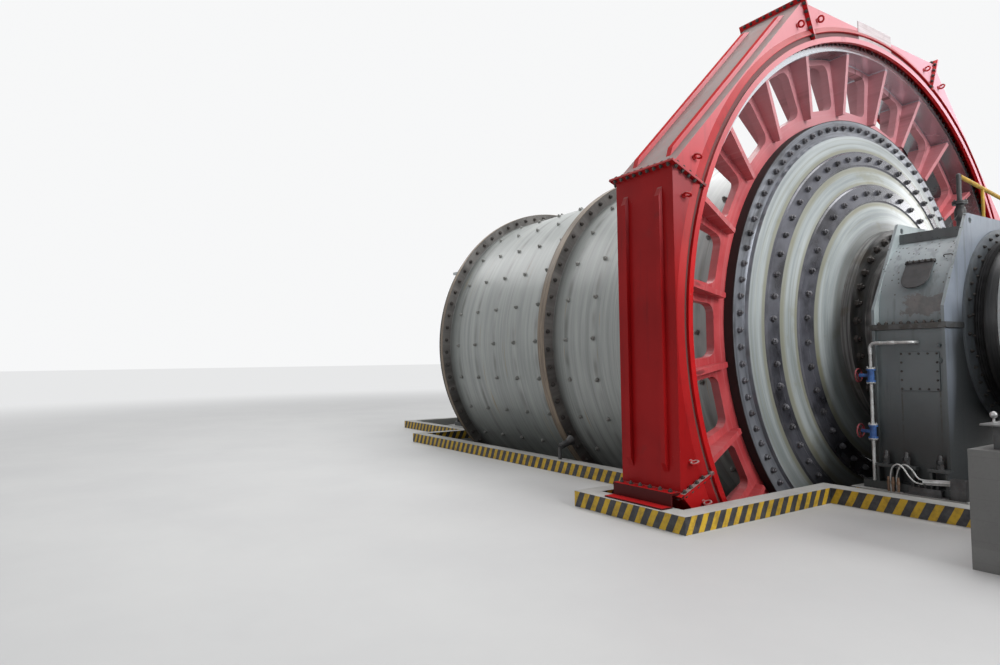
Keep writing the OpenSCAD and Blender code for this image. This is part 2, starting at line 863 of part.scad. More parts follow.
module discharge_hood() {
    color(grey_blue) difference() {
        hood_form(0);
        hood_form(sheet_t);
        on_axis(neck_r + 25, hood_x0 - 1, hood_x0 + sheet_t + 1);
        on_axis(hood_r - 150, hood_x1 - sheet_t - 1, hood_x1 + 1);
    }
}

module hood_end_plate() {
    color(grey_blue) about_axis([
        [hood_port_r, hood_x1], [hood_r + 30, hood_x1], [hood_r + 30, hood_x1 + hood_plate_t],
        [hood_port_r, hood_x1 + hood_plate_t]
    ]);
}

// Square feed box with a round spout that reaches into the feed trunnion.
module feed_chute() {
    h = chute_half;
    color(grey_blue) difference() {
        union() {
            block([chute_x0, -h, axis_z - h], [chute_x1, h, chute_top]);
            on_axis(spout_r, chute_x1 - 1, chute_x1 + spout_l);
        }
        block(
            [chute_x0 + sheet_t, -h + sheet_t, axis_z - h + sheet_t],
            [chute_x1 - sheet_t, h - sheet_t, chute_top + 1]
        );
        on_axis(spout_r - sheet_t, chute_x1 - sheet_t - 1, chute_x1 + spout_l + 1);
    }
}

// Four posts and two cross beams that carry the feed chute on the raft.
module feed_chute_frame() {
    h = chute_half;
    p = 150;
    z = axis_z - h;
    color(steel) {
        for (x = [chute_x0, chute_x1 - p])
            for (y = [-h, h - p]) block([x, y, raft_t], [x + p, y + p, z - p]);
        for (y = [-h, h - p]) block([chute_x0, y, z - p], [chute_x1, y + p, z]);
        for (y = [-h, h - p]) block([chute_x0, y, hall_z], [chute_x1, y + p, hall_z + p]);
        for (x = [chute_x0, chute_x1 - p]) block([x, -h, z - p], [x + p, h, z]);
    }
}

pipe_r = 17;
pipe_y = -housing_w - 70;
pipe_x = housing_in_x + 10;
pipe_drop = 165;
pipe_run = 420;

// Rise pipe with an elbow into the near side of the lower housing.
module oil_pipe() {
    z1 = axis_z - pipe_drop;
    color("silver") {
        translate([pipe_x, pipe_y, base_z]) cylinder(r = pipe_r, h = z1 - base_z);
        translate([pipe_x, pipe_y, z1]) sphere(r = pipe_r);
        translate([pipe_x, pipe_y, z1]) rotate([0, 90, 0]) cylinder(r = pipe_r, h = pipe_run);
        translate([pipe_x + pipe_run, pipe_y, z1]) sphere(r = pipe_r);
        translate([pipe_x + pipe_run, pipe_y, z1]) rotate([-90, 0, 0])
            cylinder(r = pipe_r, h = -housing_w + base_set - pipe_y);
    }
}

valve_drop = [500, 1085];
valve_z = [axis_z - valve_drop[0], axis_z - valve_drop[1]];

module oil_valves() {
    color("royalblue") for (z = valve_z) difference() {
        union() {
            for (s = [-1, 1]) translate([pipe_x, pipe_y, z + s * 60 - 8]) cylinder(r = 46, h = 16);
            translate([pipe_x, pipe_y, z - 55]) cylinder(r = 32, h = 110);
            translate([pipe_x, pipe_y, z]) rotate([0, -90, 0]) cylinder(r = 18, h = 120);
        }
        translate([pipe_x, pipe_y, z - 80]) cylinder(r = pipe_r, h = 160);
    }
}

module valve_handwheels() {
    color("firebrick") for (z = valve_z) translate([pipe_x - 130, pipe_y, z]) rotate([0, 90, 0]) {
        rotate_extrude() translate([70, 0]) circle(r = 7);
        for (a = [0, 120, 240]) rotate([0, 0, a]) translate([0, -5, -5]) cube([70, 10, 10]);
        translate([0, 0, -10]) cylinder(r = 14, h = 20);
    }
}

// Concrete block beside the discharge end, against the outside of the pit wall.
module side_block() {
    x = guard_front_x + block_x;
    y = -wall_bearing_y;
    color(concrete) block([x, y - block_w, 0], [x + block_l, y, hall_z + block_h]);
}

rail_r = 22;
post_r = 17;
vent_r = 24;
vent_gap = 0.3;
vent_x = bearing_x + 90;
vent_y = 490 - hatch;
rail_end = hatch - 60;
rail_posts = [rail_end - 540, rail_end];
vent_flange_z = 316;

// Handrail over the discharge bearing: two posts, and a rail that falls away from the vent pipe.
module bearing_handrail() {
    start = (vent_r + vent_gap + rail_r * sin(rail_fall)) / cos(rail_fall);
    run = (rail_end + post_r - vent_y) / cos(rail_fall) - start;
    color("gold") translate([vent_x, 0, axis_z + hatch_z]) {
        for (y = rail_posts) translate([0, y, 0])
            cylinder(r = post_r, h = rail_h - (y - vent_y) * tan(rail_fall));
        translate([0, vent_y, rail_h]) rotate([-90 - rail_fall, 0, 0]) translate([0, 0, start])
            cylinder(r = rail_r, h = run);
    }
}

// Vent of the discharge bearing: valve body with two flanges, and a pipe up to the handrail.
module cover_vent() {
    color(dark) translate([vent_x, vent_y, axis_z + hatch_z]) {
        cylinder(r = 60, h = 16);
        cylinder(r = 38, h = vent_flange_z + 1);
        for (z = [0, 20]) translate([0, 0, vent_flange_z + z]) cylinder(r = 74, h = 16);
        cylinder(r = vent_r, h = rail_h);
        translate([0, 0, rail_h]) sphere(r = vent_r);
    }
}

// Listening sensor on a bracket beside the shell.
module sound_sensor() {
    x = 480;
    y = -wall_shell_y + wall_t / 2;
    color(dark) {
        translate([x, y, kerb_z]) cylinder(r = 25, h = 170);
        translate([x, y, kerb_z + 170]) rotate([-70, 0, 0]) cylinder(r = 45, h = 190);
    }
}

foundation_raft();
pit_wall_near();
pit_wall_far();
pit_wall_feed_end();
pit_wall_discharge_end();
feed_pier();
discharge_pier();
pinion_plinth();
shell_feed_section();
shell_discharge_section();
feed_head();
discharge_head();
feed_trunnion();
discharge_trunnion();
girth_gear();
feed_bearing_base();
feed_bearing_cover();
feed_seal_ring();
discharge_bearing_base();
discharge_bearing_cover();
discharge_seal_ring();
guard_top();
guard_upper_near();
guard_near();
guard_lower_near();
guard_bottom();
guard_lower_far();
guard_far();
guard_upper_far();
guard_lips();
guard_sign_plate();
pinion_housing();
pinion_bearings();
pinion_shaft();
discharge_hood();
hood_end_plate();
feed_chute();
feed_chute_frame();
oil_pipe();
oil_valves();
valve_handwheels();
bearing_handrail();
cover_vent();
sound_sensor();
side_block();
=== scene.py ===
"""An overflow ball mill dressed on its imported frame: finishes, fasteners, fittings and a plain studio."""

import json
import math

import bmesh
import bpy
import numpy as np
from mathutils import Matrix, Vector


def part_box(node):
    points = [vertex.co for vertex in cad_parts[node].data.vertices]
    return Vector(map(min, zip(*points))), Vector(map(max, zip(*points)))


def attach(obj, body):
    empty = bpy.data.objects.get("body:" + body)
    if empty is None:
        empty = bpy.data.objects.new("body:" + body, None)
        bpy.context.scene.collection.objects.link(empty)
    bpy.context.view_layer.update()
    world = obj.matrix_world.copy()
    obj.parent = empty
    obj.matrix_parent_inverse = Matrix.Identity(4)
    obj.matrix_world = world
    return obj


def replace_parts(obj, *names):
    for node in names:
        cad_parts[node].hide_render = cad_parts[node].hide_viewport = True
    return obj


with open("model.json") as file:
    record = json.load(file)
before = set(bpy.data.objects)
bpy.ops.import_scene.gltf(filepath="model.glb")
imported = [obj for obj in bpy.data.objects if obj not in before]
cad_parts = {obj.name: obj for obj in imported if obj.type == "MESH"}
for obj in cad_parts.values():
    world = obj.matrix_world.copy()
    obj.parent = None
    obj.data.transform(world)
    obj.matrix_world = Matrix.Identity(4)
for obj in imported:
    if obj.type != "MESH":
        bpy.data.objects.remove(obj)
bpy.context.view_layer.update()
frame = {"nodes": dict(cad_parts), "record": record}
nodes = frame["nodes"]


def span(node):
    """Lowest and highest corner of a node, as two arrays."""
    low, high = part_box(node)
    return np.array(low), np.array(high)


# Stations in metres: read from the frame where a node's box gives them, else as the source has them
shell_low, shell_high = span("shell_discharge_section")
AXIS_Z = (shell_low[2] + shell_high[2]) / 2
FLANGE_R = (shell_high[2] - shell_low[2]) / 2
HALF_L = shell_high[0]
SHELL_R = 2.56
FLANGE_T = 0.075
WEB_T = 0.1
HEAD_FLANGE_X = HALF_L + WEB_T + 0.115
CONE_X, CONE_R = HEAD_FLANGE_X + 0.039, 2.49
SEAT_X, SEAT_R = HEAD_FLANGE_X + 0.327, 1.24
CONE_SLOPE = (SEAT_X - CONE_X) / (CONE_R - SEAT_R)
FEED_SHIFT = WEB_T  # the feed end mirrors the discharge end about x = FEED_SHIFT / 2
FRONT_X = span("guard_sign_plate")[0][0]
BACK_X = FRONT_X - 0.77
GUARD_A = 3.774
GUARD_OPEN = 3.577
CORNER_R = GUARD_A / math.cos(math.pi / 8)
CORNER_H = GUARD_A * math.tan(math.pi / 8)
cover_low, cover_high = span("discharge_bearing_cover")
HOUSING_IN, HOUSING_OUT = cover_low[0] + 0.02, cover_high[0] - 0.02
MIDDLE_X = (HOUSING_IN + HOUSING_OUT) / 2
KERB_Z = span("pit_wall_near")[1][2]
FLOOR_Z = KERB_Z - 0.165
BLOCK_LOW, BLOCK_HIGH = span("side_block")
HOOD_LOW, HOOD_HIGH = span("discharge_hood")
CHUTE_LOW, CHUTE_HIGH = span("feed_chute")
HOUSE_LOW, HOUSE_HIGH = span("pinion_housing")
BOLT_ROWS, BOLT_COLUMNS = 28, 5
BOLT_START, BOLT_PITCH = 0.37, 0.595


# Shader maths
def operator(operation, reflected=False):
    """A method that adds a Math node of two values."""
    if reflected:
        return lambda self, other: self.math(operation, other, self)
    return lambda self, other: self.math(operation, self, other)


class Shade:
    """A shader socket. Arithmetic on it adds Math nodes, and add() makes any other node."""

    def __init__(self, tree, socket=None):
        self.tree, self.socket = tree, socket

    def add(self, kind, settings=None, inputs=None, out=0):
        """Makes a node of a kind, with its settings first and then the values or links of its sockets."""
        node = self.tree.nodes.new("ShaderNode" + kind)
        for name, value in (settings or {}).items():
            setattr(node, name, value)
        for name, value in (inputs or {}).items():
            if isinstance(value, Shade):
                self.tree.links.new(value.socket, node.inputs[name])
            else:
                node.inputs[name].default_value = value
        return Shade(self.tree, node.outputs[out])

    def math(self, operation, *values):
        return self.add("Math", {"operation": operation}, dict(enumerate(values)))

    __add__, __radd__ = operator("ADD"), operator("ADD", True)
    __sub__, __rsub__ = operator("SUBTRACT"), operator("SUBTRACT", True)
    __mul__, __rmul__ = operator("MULTIPLY"), operator("MULTIPLY", True)
    __truediv__, __rtruediv__ = operator("DIVIDE"), operator("DIVIDE", True)
    power, least, most = operator("POWER"), operator("MINIMUM"), operator("MAXIMUM")

    def wave(self):
        return self.math("FRACT", self)

    def size(self):
        return self.math("ABSOLUTE", self)

    def root(self):
        return self.math("SQRT", self)

    def parts(self):
        """The three parts of a vector."""
        outs = self.add("SeparateXYZ", None, {0: self}).socket.node.outputs
        return tuple(Shade(self.tree, outs[i]) for i in range(3))

    def step(self, low, high):
        """0 below low, 1 above high, smooth between; low may lie above high."""
        return self.add(
            "MapRange", {"interpolation_type": "SMOOTHSTEP"}, {0: self, 1: low, 2: high, 3: 0.0, 4: 1.0}
        )

    def between(self, low, high, soft):
        """1 between low and high, fading to 0 over soft."""
        return self.step(low - soft, low) * self.step(high + soft, high)

    def blend(self, first, second):
        """A colour between two, this value being the share of the second."""
        return self.add("Mix", {"data_type": "RGBA"}, {0: self, 6: tint(first), 7: tint(second)}, 2)


def tint(colour):
    """Three numbers become a colour with alpha, a socket stays as it is."""
    return colour if isinstance(colour, Shade) else (*colour, 1.0)


def seen_rays(root):
    """1 for the rays that see a surface directly, in a mirror or through glass."""
    node = root.add("LightPath").socket.node
    seen = {o.name: Shade(root.tree, o) for o in node.outputs}
    return seen["Is Camera Ray"].most(seen["Is Glossy Ray"]).most(seen["Is Transmission Ray"])


class Finish:
    """A material in the making: a ground colour, layers over it, and paint() to close it."""

    def __init__(self, name):
        self.material = bpy.data.materials.new(name)
        self.material.use_nodes = True
        self.tree = self.material.node_tree
        self.shader = self.tree.nodes["Principled BSDF"]
        self.root = Shade(self.tree)
        self.place = self.root.add("TexCoord", out=3)
        self.x, self.y, self.z = self.place.parts()
        self.high = self.z - AXIS_Z

    def vector(self, x, y, z):
        return self.root.add("CombineXYZ", None, {0: x, 1: y, 2: z})

    def stretched(self, x, y, z):
        """Object coordinates multiplied along each axis, so that a noise on them is drawn out."""
        return self.root.add("VectorMath", {"operation": "MULTIPLY"}, {0: self.place, 1: (x, y, z)})

    def noise(self, scale, detail=4.0, rough=0.55, at=None):
        place = at or self.place
        values = {"Vector": place, "Scale": scale, "Detail": detail, "Roughness": rough}
        return self.root.add("TexNoise", None, values)

    def cells(self, scale):
        """Distance to scattered points."""
        return self.root.add("TexVoronoi", {"feature": "F1"}, {"Vector": self.place, "Scale": scale})

    def flat_cells(self, scale, u, v):
        """Distance to scattered points over two of the coordinates."""
        kind = {"feature": "F1", "voronoi_dimensions": "2D"}
        return self.root.add("TexVoronoi", kind, {"Vector": self.vector(u, v, 0.0), "Scale": scale})

    def normal(self):
        """The three parts of the surface's direction."""
        return self.root.add("NewGeometry", out=1).parts()

    def polar(self):
        """Radius from the drum axis; keeps the two parts of the direction for drawn()."""
        radius = (self.y * self.y + self.high * self.high).root()
        self.side, self.up = self.y / radius, self.high / radius
        return radius

    def drawn(self, along, spread, detail, rough=0.55, shift=0.0):
        """Noise drawn out round the drum, placed by a value along and by the direction times spread."""
        place = self.vector(along, self.side * spread + shift, self.up * spread)
        return self.noise(1.0, detail, rough, place)

    def ground(self, share, first, second):
        """The colour under the layers, between two tones."""
        self.colour = share.blend(first, second)

    def over(self, share, colour):
        """A layer of colour, share being how much of it shows."""
        self.colour = share.blend(self.colour, colour)

    def paint(self, rough, metal=0.0, coat=0.0, bump=None, distance=0.004, strength=0.6, shine=0.5):
        """Closes the material: what varies goes in as links, what doesn't sits on the shader."""
        values = {"Base Color": self.colour, "Roughness": rough, "Metallic": metal, "Coat Weight": coat}
        for name, value in values.items():
            if isinstance(value, Shade):
                self.tree.links.new(value.socket, self.shader.inputs[name])
            else:
                self.shader.inputs[name].default_value = value
        self.shader.inputs["Coat Roughness"].default_value = 0.2
        self.shader.inputs["Specular IOR Level"].default_value = shine
        if bump is not None:
            relief = self.root.add("Bump", None, {"Height": bump, "Strength": strength, "Distance": distance})
            self.tree.links.new(relief.socket, self.shader.inputs["Normal"])
        return self.material


# Finishes
def guard_paint(name, turn=None, depth=1.0, haze_and_sheen_share=0.85):
    """Red, hazy with a painted sheen in front and painted shade low on the front, dusty above, painted shade
    at the foot; turn is a side's angle, whose bars stay clean.
    """
    f = Finish(name)
    nx, _, nz = f.normal()
    cloud = f.noise(1.3, 5.0)
    fine = f.noise(22.0, 4.0, 0.7)
    runs = f.noise(1.0, 4.0, 0.6, f.stretched(9.0, 9.0, 0.7))
    up = nz.step(0.25, 0.75)
    front = nx.step(0.6, 0.95)
    clean = up * 0.0
    if turn is not None:
        out = f.high * math.cos(turn) - f.y * math.sin(turn)
        clean = up * out.step(GUARD_A + 0.004, GUARD_A + 0.012)
    dust = (up * (0.85 + 0.15 * fine.step(0.35, 0.65)) * (0.8 + 0.25 * cloud.step(0.3, 0.6))).least(0.96)
    dust = dust * (1.0 - clean)
    deep, pale = (0.47 * depth, 0.009 * depth, 0.011 * depth), (0.60 * depth, 0.014 * depth, 0.016 * depth)
    f.ground(cloud.step(0.35, 0.7), deep, pale)
    f.over(runs.step(0.56, 0.7) * 0.4, (0.21 * depth, 0.006, 0.008))
    # painted shade: front faces darker towards the bottom
    f.over(front * f.high.step(1.4, -2.4) * 0.5, (0.20, 0.005, 0.006))
    # dust haze and painted sheen: front faces paler and pinker higher up, bluer towards +Y
    haze_and_sheen = f.y.step(-1.2, 2.6).blend((0.74, 0.375, 0.405), (0.84, 0.56, 0.66))
    f.over(front * f.high.step(0.3, 3.7) * haze_and_sheen_share, haze_and_sheen)
    # dust and painted shade in the groove beside the lip
    f.over(front * f.polar().between(3.640, 3.690, 0.004) * 0.8, (0.10, 0.075, 0.07))
    f.over(dust, cloud.step(0.35, 0.65).blend((0.235, 0.222, 0.212), (0.29, 0.25, 0.24)))
    # painted shade: the sides of the foot below the corner flange painted near black
    foot = f.y.size().step(GUARD_A + 0.010, GUARD_A + 0.016) * f.high.step(0.045 - CORNER_H, 0.032 - CORNER_H)
    f.over(foot * (1.0 - up) * 0.85, (0.030, 0.006, 0.006))
    # grime in noise patches, and painted shade towards the bottom
    grime = f.noise(3.0, 6.0, 0.65).step(0.60, 0.74) * 0.3 + f.high.step(-1.6, -2.2) * 0.3
    f.over(grime, (0.07, 0.015, 0.015))
    f.over(clean * 0.8, (0.42, 0.007, 0.008))
    f.over(f.cells(16.0).step(0.055, 0.03) * fine.step(0.58, 0.66), (0.45, 0.40, 0.38))
    rough = 0.36 + 0.4 * dust + 0.10 * fine + 0.5 * clean
    return f.paint(rough, 0.0, 0.04 * (1.0 - clean), f.noise(4.0, 3.0) + 0.08 * fine, 0.004, 0.22, 0.12)


def drum_paint():
    """Pale grey-green shell with rings of streaks, grease round each liner bolt and rusty flanges."""
    f = Finish("drum paint")
    radius = f.polar()
    streak = f.drawn(f.x * 9.0, 1.1, 6.0, 0.65)
    thin = f.drawn(f.x * 38.0, 0.9, 3.0, 0.5)
    worn = f.drawn(f.x * 30.0, 5.0, 5.0, 0.7)
    # grease patches: distance to the nearest bolt along the drum and round it
    place = f.x.size() / BOLT_PITCH - 0.5 - BOLT_START / BOLT_PITCH
    row = f.side.math("ARCTAN2", f.side, f.up) * (BOLT_ROWS / math.tau)
    along = (place.wave() - 0.5) * BOLT_PITCH
    across = (row.wave() - 0.5) * (math.tau / BOLT_ROWS * SHELL_R)
    drag = ((along / 0.060).power(2.0) + ((across + 0.10) / 0.30).power(2.0)).root()
    smudge = drag.step(1.15, 0.1) * f.drawn(f.x * 1.7, 4.0, 2.0, 0.5).step(0.34, 0.62)
    f.ground(streak.step(0.3, 0.72), (0.225, 0.242, 0.234), (0.350, 0.367, 0.355))
    f.over(thin.step(0.56, 0.72) * 0.45, (0.135, 0.14, 0.125))
    f.over(f.drawn(f.x * 26.0, 1.6, 2.0, 0.5, 5.0).step(0.70, 0.745) * 0.7, (0.27, 0.19, 0.075))
    f.over(smudge * 0.62, (0.085, 0.082, 0.074))
    inner = HALF_L - FLANGE_T
    near_end = (f.x.size() - FLANGE_T).step(0.16, 0.0).most((f.x.size() - inner).step(-0.16, 0.0))
    f.over(near_end * 0.6, (0.10, 0.10, 0.095))
    flange = radius.step(SHELL_R + 0.008, SHELL_R + 0.02)
    f.over(flange, worn.step(0.35, 0.7).blend((0.062, 0.058, 0.054), (0.17, 0.162, 0.152)))
    edge = radius.step(FLANGE_R - 0.012, FLANGE_R - 0.003)
    f.over(edge, worn.step(0.35, 0.65).blend((0.24, 0.185, 0.13), (0.11, 0.085, 0.065)))
    rough = 0.34 + 0.25 * flange + 0.12 * streak
    return f.paint(rough, 0.0, 0.22, thin * 0.35 + 0.4 * worn * flange, 0.003, 0.4)


def head_paint():
    """Pale paint drawn out in rings, greasy bolt bands, olive oil lines, a bright flange with a dark edge."""
    f = Finish("head paint")
    radius = f.polar()
    rings = f.drawn(radius * 12.0, 0.9, 6.0, 0.62)
    fine = f.drawn(radius * 46.0, 0.7, 3.0, 0.5)
    patch = f.drawn(radius * 3.0, 3.4, 4.0, 0.6)
    f.ground(rings.step(0.32, 0.7), (0.235, 0.265, 0.268), (0.42, 0.455, 0.46))
    oil = (fine.step(0.53, 0.70) * 0.35).most(patch.step(0.55, 0.72) * 0.55)
    f.over(oil * 0.85, (0.18, 0.172, 0.075))
    band = radius.between(2.088, 2.278, 0.012).most(radius.between(1.622, 1.846, 0.012))
    lines = radius.between(2.045, 2.088, 0.05).most(radius.between(1.58, 1.622, 0.04))
    lines = lines.most(radius.between(2.278, 2.31, 0.03)).most(radius.between(1.846, 1.87, 0.03))
    f.over(lines * (0.35 + 0.5 * patch), (0.20, 0.185, 0.10))
    f.over(band, patch.step(0.30, 0.62).blend((0.022, 0.021, 0.026), (0.125, 0.127, 0.150)))
    f.over(radius.step(1.42, 1.28) * 0.7, (0.09, 0.09, 0.085))
    # painted shade: darker towards the bottom
    f.over(f.high.step(-0.7, -2.5) * 0.55, (0.045, 0.045, 0.042))
    flange = radius.step(2.482, 2.496)
    steel = rings.step(0.35, 0.65).blend((0.115, 0.12, 0.14), (0.30, 0.315, 0.35))
    f.over(flange, (patch.step(0.52, 0.66) * 0.6).blend(steel, (0.045, 0.045, 0.045)))
    rim = radius.step(2.686, 2.696)
    f.over(rim, (0.011, 0.010, 0.010))
    rough = (0.30 + 0.12 * rings - 0.10 * band - 0.04 * flange).least(0.6) + 0.4 * rim
    metal = (0.12 + flange * 0.45 + band * 0.30) * (1.0 - rim)
    return f.paint(rough, metal, 0.35 * (1.0 - rim), fine * 0.4 + rings * 0.3, 0.003, 0.35)


def gear_paint():
    """Red web and ribs with grease flung outwards, a painted sheen high up and painted shade low down; a bare
    greasy rim and teeth, with a painted highlight high up.
    """
    f = Finish("gear paint")
    radius = f.polar()
    cloud = f.noise(2.2, 5.0)
    flung = f.drawn(radius * 2.2, 26.0, 4.0, 0.6)
    arcs = f.drawn(radius * 40.0, 1.5, 3.0, 0.5)
    f.ground(cloud.step(0.3, 0.7), (0.43, 0.035, 0.042), (0.60, 0.085, 0.092))
    f.over(arcs.step(0.5, 0.66) * 0.28, (0.62, 0.24, 0.25))
    # painted sheen: paler pink higher up
    f.over(f.high.step(0.9, 3.4) * 0.75, (0.58, 0.33, 0.365))
    # painted shade: darker towards the bottom
    f.over(f.high.step(1.2, -1.6) * 0.35, (0.26, 0.028, 0.032))
    f.over(flung.step(0.56, 0.68) * radius.step(2.7, 3.45) * 0.7, (0.075, 0.018, 0.02))
    rim = radius.step(3.488, 3.497)
    # painted highlight: pale streaks on the rim high up and on the near side
    bright = f.high.step(-0.5, 2.5) * f.y.step(2.4, 0.6)
    grease = arcs.step(0.4, 0.6).blend((0.060, 0.060, 0.064), (0.40, 0.41, 0.44))
    f.over(rim, (bright * arcs.step(0.30, 0.44) * 0.8).blend(grease, (0.82, 0.85, 0.90)))
    return f.paint(0.40 - 0.20 * rim + 0.12 * cloud, rim * 0.85, 0.2, cloud + arcs * 0.2, 0.003, 0.3)


def trunnion_steel():
    """Oily dark steel drawn out in fine rings, rusty at the flange, with a black neck."""
    f = Finish("trunnion steel")
    radius = f.polar()
    rings = f.drawn(f.x * 30.0, 1.0, 5.0, 0.6)
    f.ground(rings.step(0.35, 0.7), (0.060, 0.059, 0.058), (0.27, 0.265, 0.26))
    f.over(radius.step(1.02, 1.08) * f.noise(3.0, 4.0).step(0.5, 0.66) * 0.7, (0.10, 0.085, 0.065))
    f.over(f.x.size().step(HOUSING_OUT, HOUSING_OUT + 0.02) * 0.85, (0.016, 0.016, 0.017))
    return f.paint(0.30 + 0.2 * rings, 0.55, 0.2, rings, 0.002, 0.4)


def machine_paint(name, pale, deep, stains=0.5):
    """Machine paint: cloudy tone, runs of oil below, specks where it has chipped, and painted shade darker
    towards its foot.
    """
    f = Finish(name)
    cloud = f.noise(1.6, 5.0, 0.6)
    runs = f.noise(1.0, 5.0, 0.6, f.stretched(11.0, 11.0, 0.9))
    fine = f.noise(34.0, 4.0, 0.7)
    f.ground(cloud.step(0.3, 0.72), deep, pale)
    f.over(runs.step(0.52, 0.68) * stains, (0.055, 0.058, 0.05))
    f.over(runs.step(0.46, 0.34) * 0.25, tuple(min(1.0, c * 1.35) for c in pale))
    f.over(f.cells(24.0).step(0.10, 0.06) * f.noise(2.1, 2.0).step(0.52, 0.60) * 0.85, (0.05, 0.04, 0.035))
    # painted shade: darker towards the foot
    f.over(f.high.step(0.1, -1.9) * 0.72, (0.045, 0.047, 0.045))
    return f.paint(0.40 + 0.2 * cloud + 0.1 * fine, 0.0, 0.12, cloud + 0.25 * fine, 0.004, 0.3)


def bearing_paint():
    """Grey-blue machine paint: pale and chipped high up, painted shade on the hatch edge, painted light on
    the inboard plate, worn over the split, painted shade near black low down.
    """
    f = Finish("bearing paint")
    nx, ny, _ = f.normal()
    cloud = f.noise(1.6, 5.0, 0.6)
    runs = f.noise(1.0, 5.0, 0.6, f.stretched(12.0, 12.0, 0.9))
    fine = f.noise(34.0, 4.0, 0.7)
    ragged = f.noise(7.0, 5.0, 0.7)
    f.ground(cloud.step(0.3, 0.72), (0.185, 0.218, 0.228), (0.255, 0.292, 0.302))
    f.over(f.high.step(0.25, 0.9) * 0.75, (0.36, 0.402, 0.42))
    end = f.x.step(HOUSING_OUT - 0.006, HOUSING_OUT - 0.002) * nx.step(0.6, 0.9)
    f.over(end, cloud.step(0.3, 0.7).blend((0.175, 0.203, 0.245), (0.25, 0.282, 0.33)))
    f.over(runs.step(0.50, 0.66) * 0.35, (0.075, 0.080, 0.078))
    speck = f.flat_cells(15.0, f.x, f.z).step(0.13, 0.09) * f.noise(3.4, 2.0).step(0.47, 0.51)
    f.over(speck * f.high.step(0.15, 0.3) * nx.size().step(0.6, 0.4) * 0.85, (0.045, 0.035, 0.03))
    # painted light: +X faces at the inboard end paler above the split
    inboard = nx.step(0.6, 0.9) * f.x.step(HOUSING_IN + 0.05, HOUSING_IN + 0.04)
    f.over(inboard * f.high.step(-0.3, 0.2) * 0.7, (0.36, 0.41, 0.415))
    # painted shade on the -Y side of the hatch slab
    inside = f.x.between(HOUSING_IN + 0.031, HOUSING_OUT - 0.031, 0.001)
    f.over(inside * f.high.step(0.930, 0.937) * ny.step(-0.3, -0.7) * 0.85, (0.055, 0.062, 0.064))
    torn = f.noise(9.0, 5.0, 0.75) - 0.5
    worn = (f.x + 0.5 * torn).step(HOUSING_IN + 0.25, HOUSING_IN + 0.28) * inside
    worn = worn * (f.high + 0.35 * torn).between(0.125, 0.305, 0.008) * ny.step(-0.5, -0.8)
    f.over(worn * 0.75, ragged.step(0.42, 0.6).blend((0.175, 0.158, 0.148), (0.115, 0.110, 0.106)))
    left, right = (f.x - MIDDLE_X + 0.09).size(), (f.x - MIDDLE_X - 0.27).size()
    drip = left.step(0.012, 0.004).most(right.step(0.012, 0.004)) * f.high.between(-1.25, -0.66, 0.03)
    f.over(drip * ragged.step(0.36, 0.5) * 0.6, (0.085, 0.062, 0.035))
    joint = f.high.size().step(0.034, 0.030) * (0.78 + 0.22 * ragged.step(0.45, 0.55))
    f.over(joint * 0.95, (0.036, 0.031, 0.025))
    # painted shade: darker below the split, near black towards the foot, and on the lower outboard plate
    # towards the middle
    low = f.high.step(0.10, -0.25) * 0.45 + f.high.step(-0.4, -1.35) * 0.53
    side = end * f.y.size().step(1.38, 1.14) * f.high.step(0.35, 0.0) * 0.6
    f.over((low + side).least(0.95), (0.016, 0.018, 0.018))
    return f.paint(0.36 + 0.22 * cloud + 0.1 * fine, 0.0, 0.15, cloud + 0.25 * fine, 0.004, 0.3)


def concrete():
    """Cast concrete: form board lines, damp patches, slanting yellow and black paint on the kerb's sides."""
    f = Finish("concrete")
    nz = f.normal()[2]
    cloud = f.noise(0.9, 6.0, 0.6)
    grit = f.noise(45.0, 5.0, 0.75)
    board = ((f.z / 0.15).wave() - 0.5).size().step(0.47, 0.5)
    f.ground(cloud.step(0.3, 0.7), (0.27, 0.268, 0.255), (0.44, 0.435, 0.415))
    f.over(grit.step(0.5, 0.72) * 0.35, (0.22, 0.215, 0.20))
    f.over(board * 0.3 * nz.size().step(0.6, 0.3), (0.16, 0.155, 0.15))
    f.over(f.noise(0.6, 3.0).step(0.52, 0.66) * f.z.step(FLOOR_Z, FLOOR_Z - 0.5) * 0.5, (0.12, 0.12, 0.11))
    wear = f.noise(9.0, 5.0, 0.7)
    stripe = (f.x + f.y - f.z * 0.5 + (f.noise(6.0, 3.0) - 0.5) * 0.018) / 0.158
    yellow = wear.step(0.3, 0.62).blend((0.30, 0.185, 0.016), (0.58, 0.365, 0.018))
    black = wear.step(0.35, 0.75).blend((0.016, 0.017, 0.021), (0.060, 0.060, 0.062))
    kerb = nz.size().step(0.5, 0.3) * f.z.between(FLOOR_Z + 0.004, KERB_Z - 0.004, 0.002)
    kerb = kerb * wear.step(0.80, 0.70)
    outer = f.x.size().step(4.02, 4.0).most(f.y.size().step(1.7, 1.75)).most(f.x.size().step(6.5, 6.55))
    block = f.x.step(BLOCK_LOW[0] - 0.02, BLOCK_LOW[0] - 0.01) * f.y.step(-1.84, -1.85)
    f.over(block * 0.8, (0.085, 0.085, 0.084))
    f.over(kerb * outer * (1.0 - block), stripe.wave().between(0.25, 0.75, 0.03).blend(yellow, black))
    return f.paint(0.78 + 0.12 * grit - 0.25 * kerb, 0.0, 0.0, grit + cloud, 0.004, 0.5)


def metal_coat(name, pale, deep, metal, rough, scale, rust):
    """A small metal part: two tones in clouds, with rust or grime in the hollows of the noise."""
    f = Finish(name)
    fine = f.noise(scale * 9.0, 4.0, 0.7)
    f.ground(f.noise(scale, 4.0, 0.6).step(0.32, 0.7), deep, pale)
    f.over(fine.step(0.52, 0.7) * (0.2 + rust), (0.10, 0.055, 0.03))
    return f.paint(rough + 0.15 * fine, metal, 0.0, fine, 0.001, 0.4)


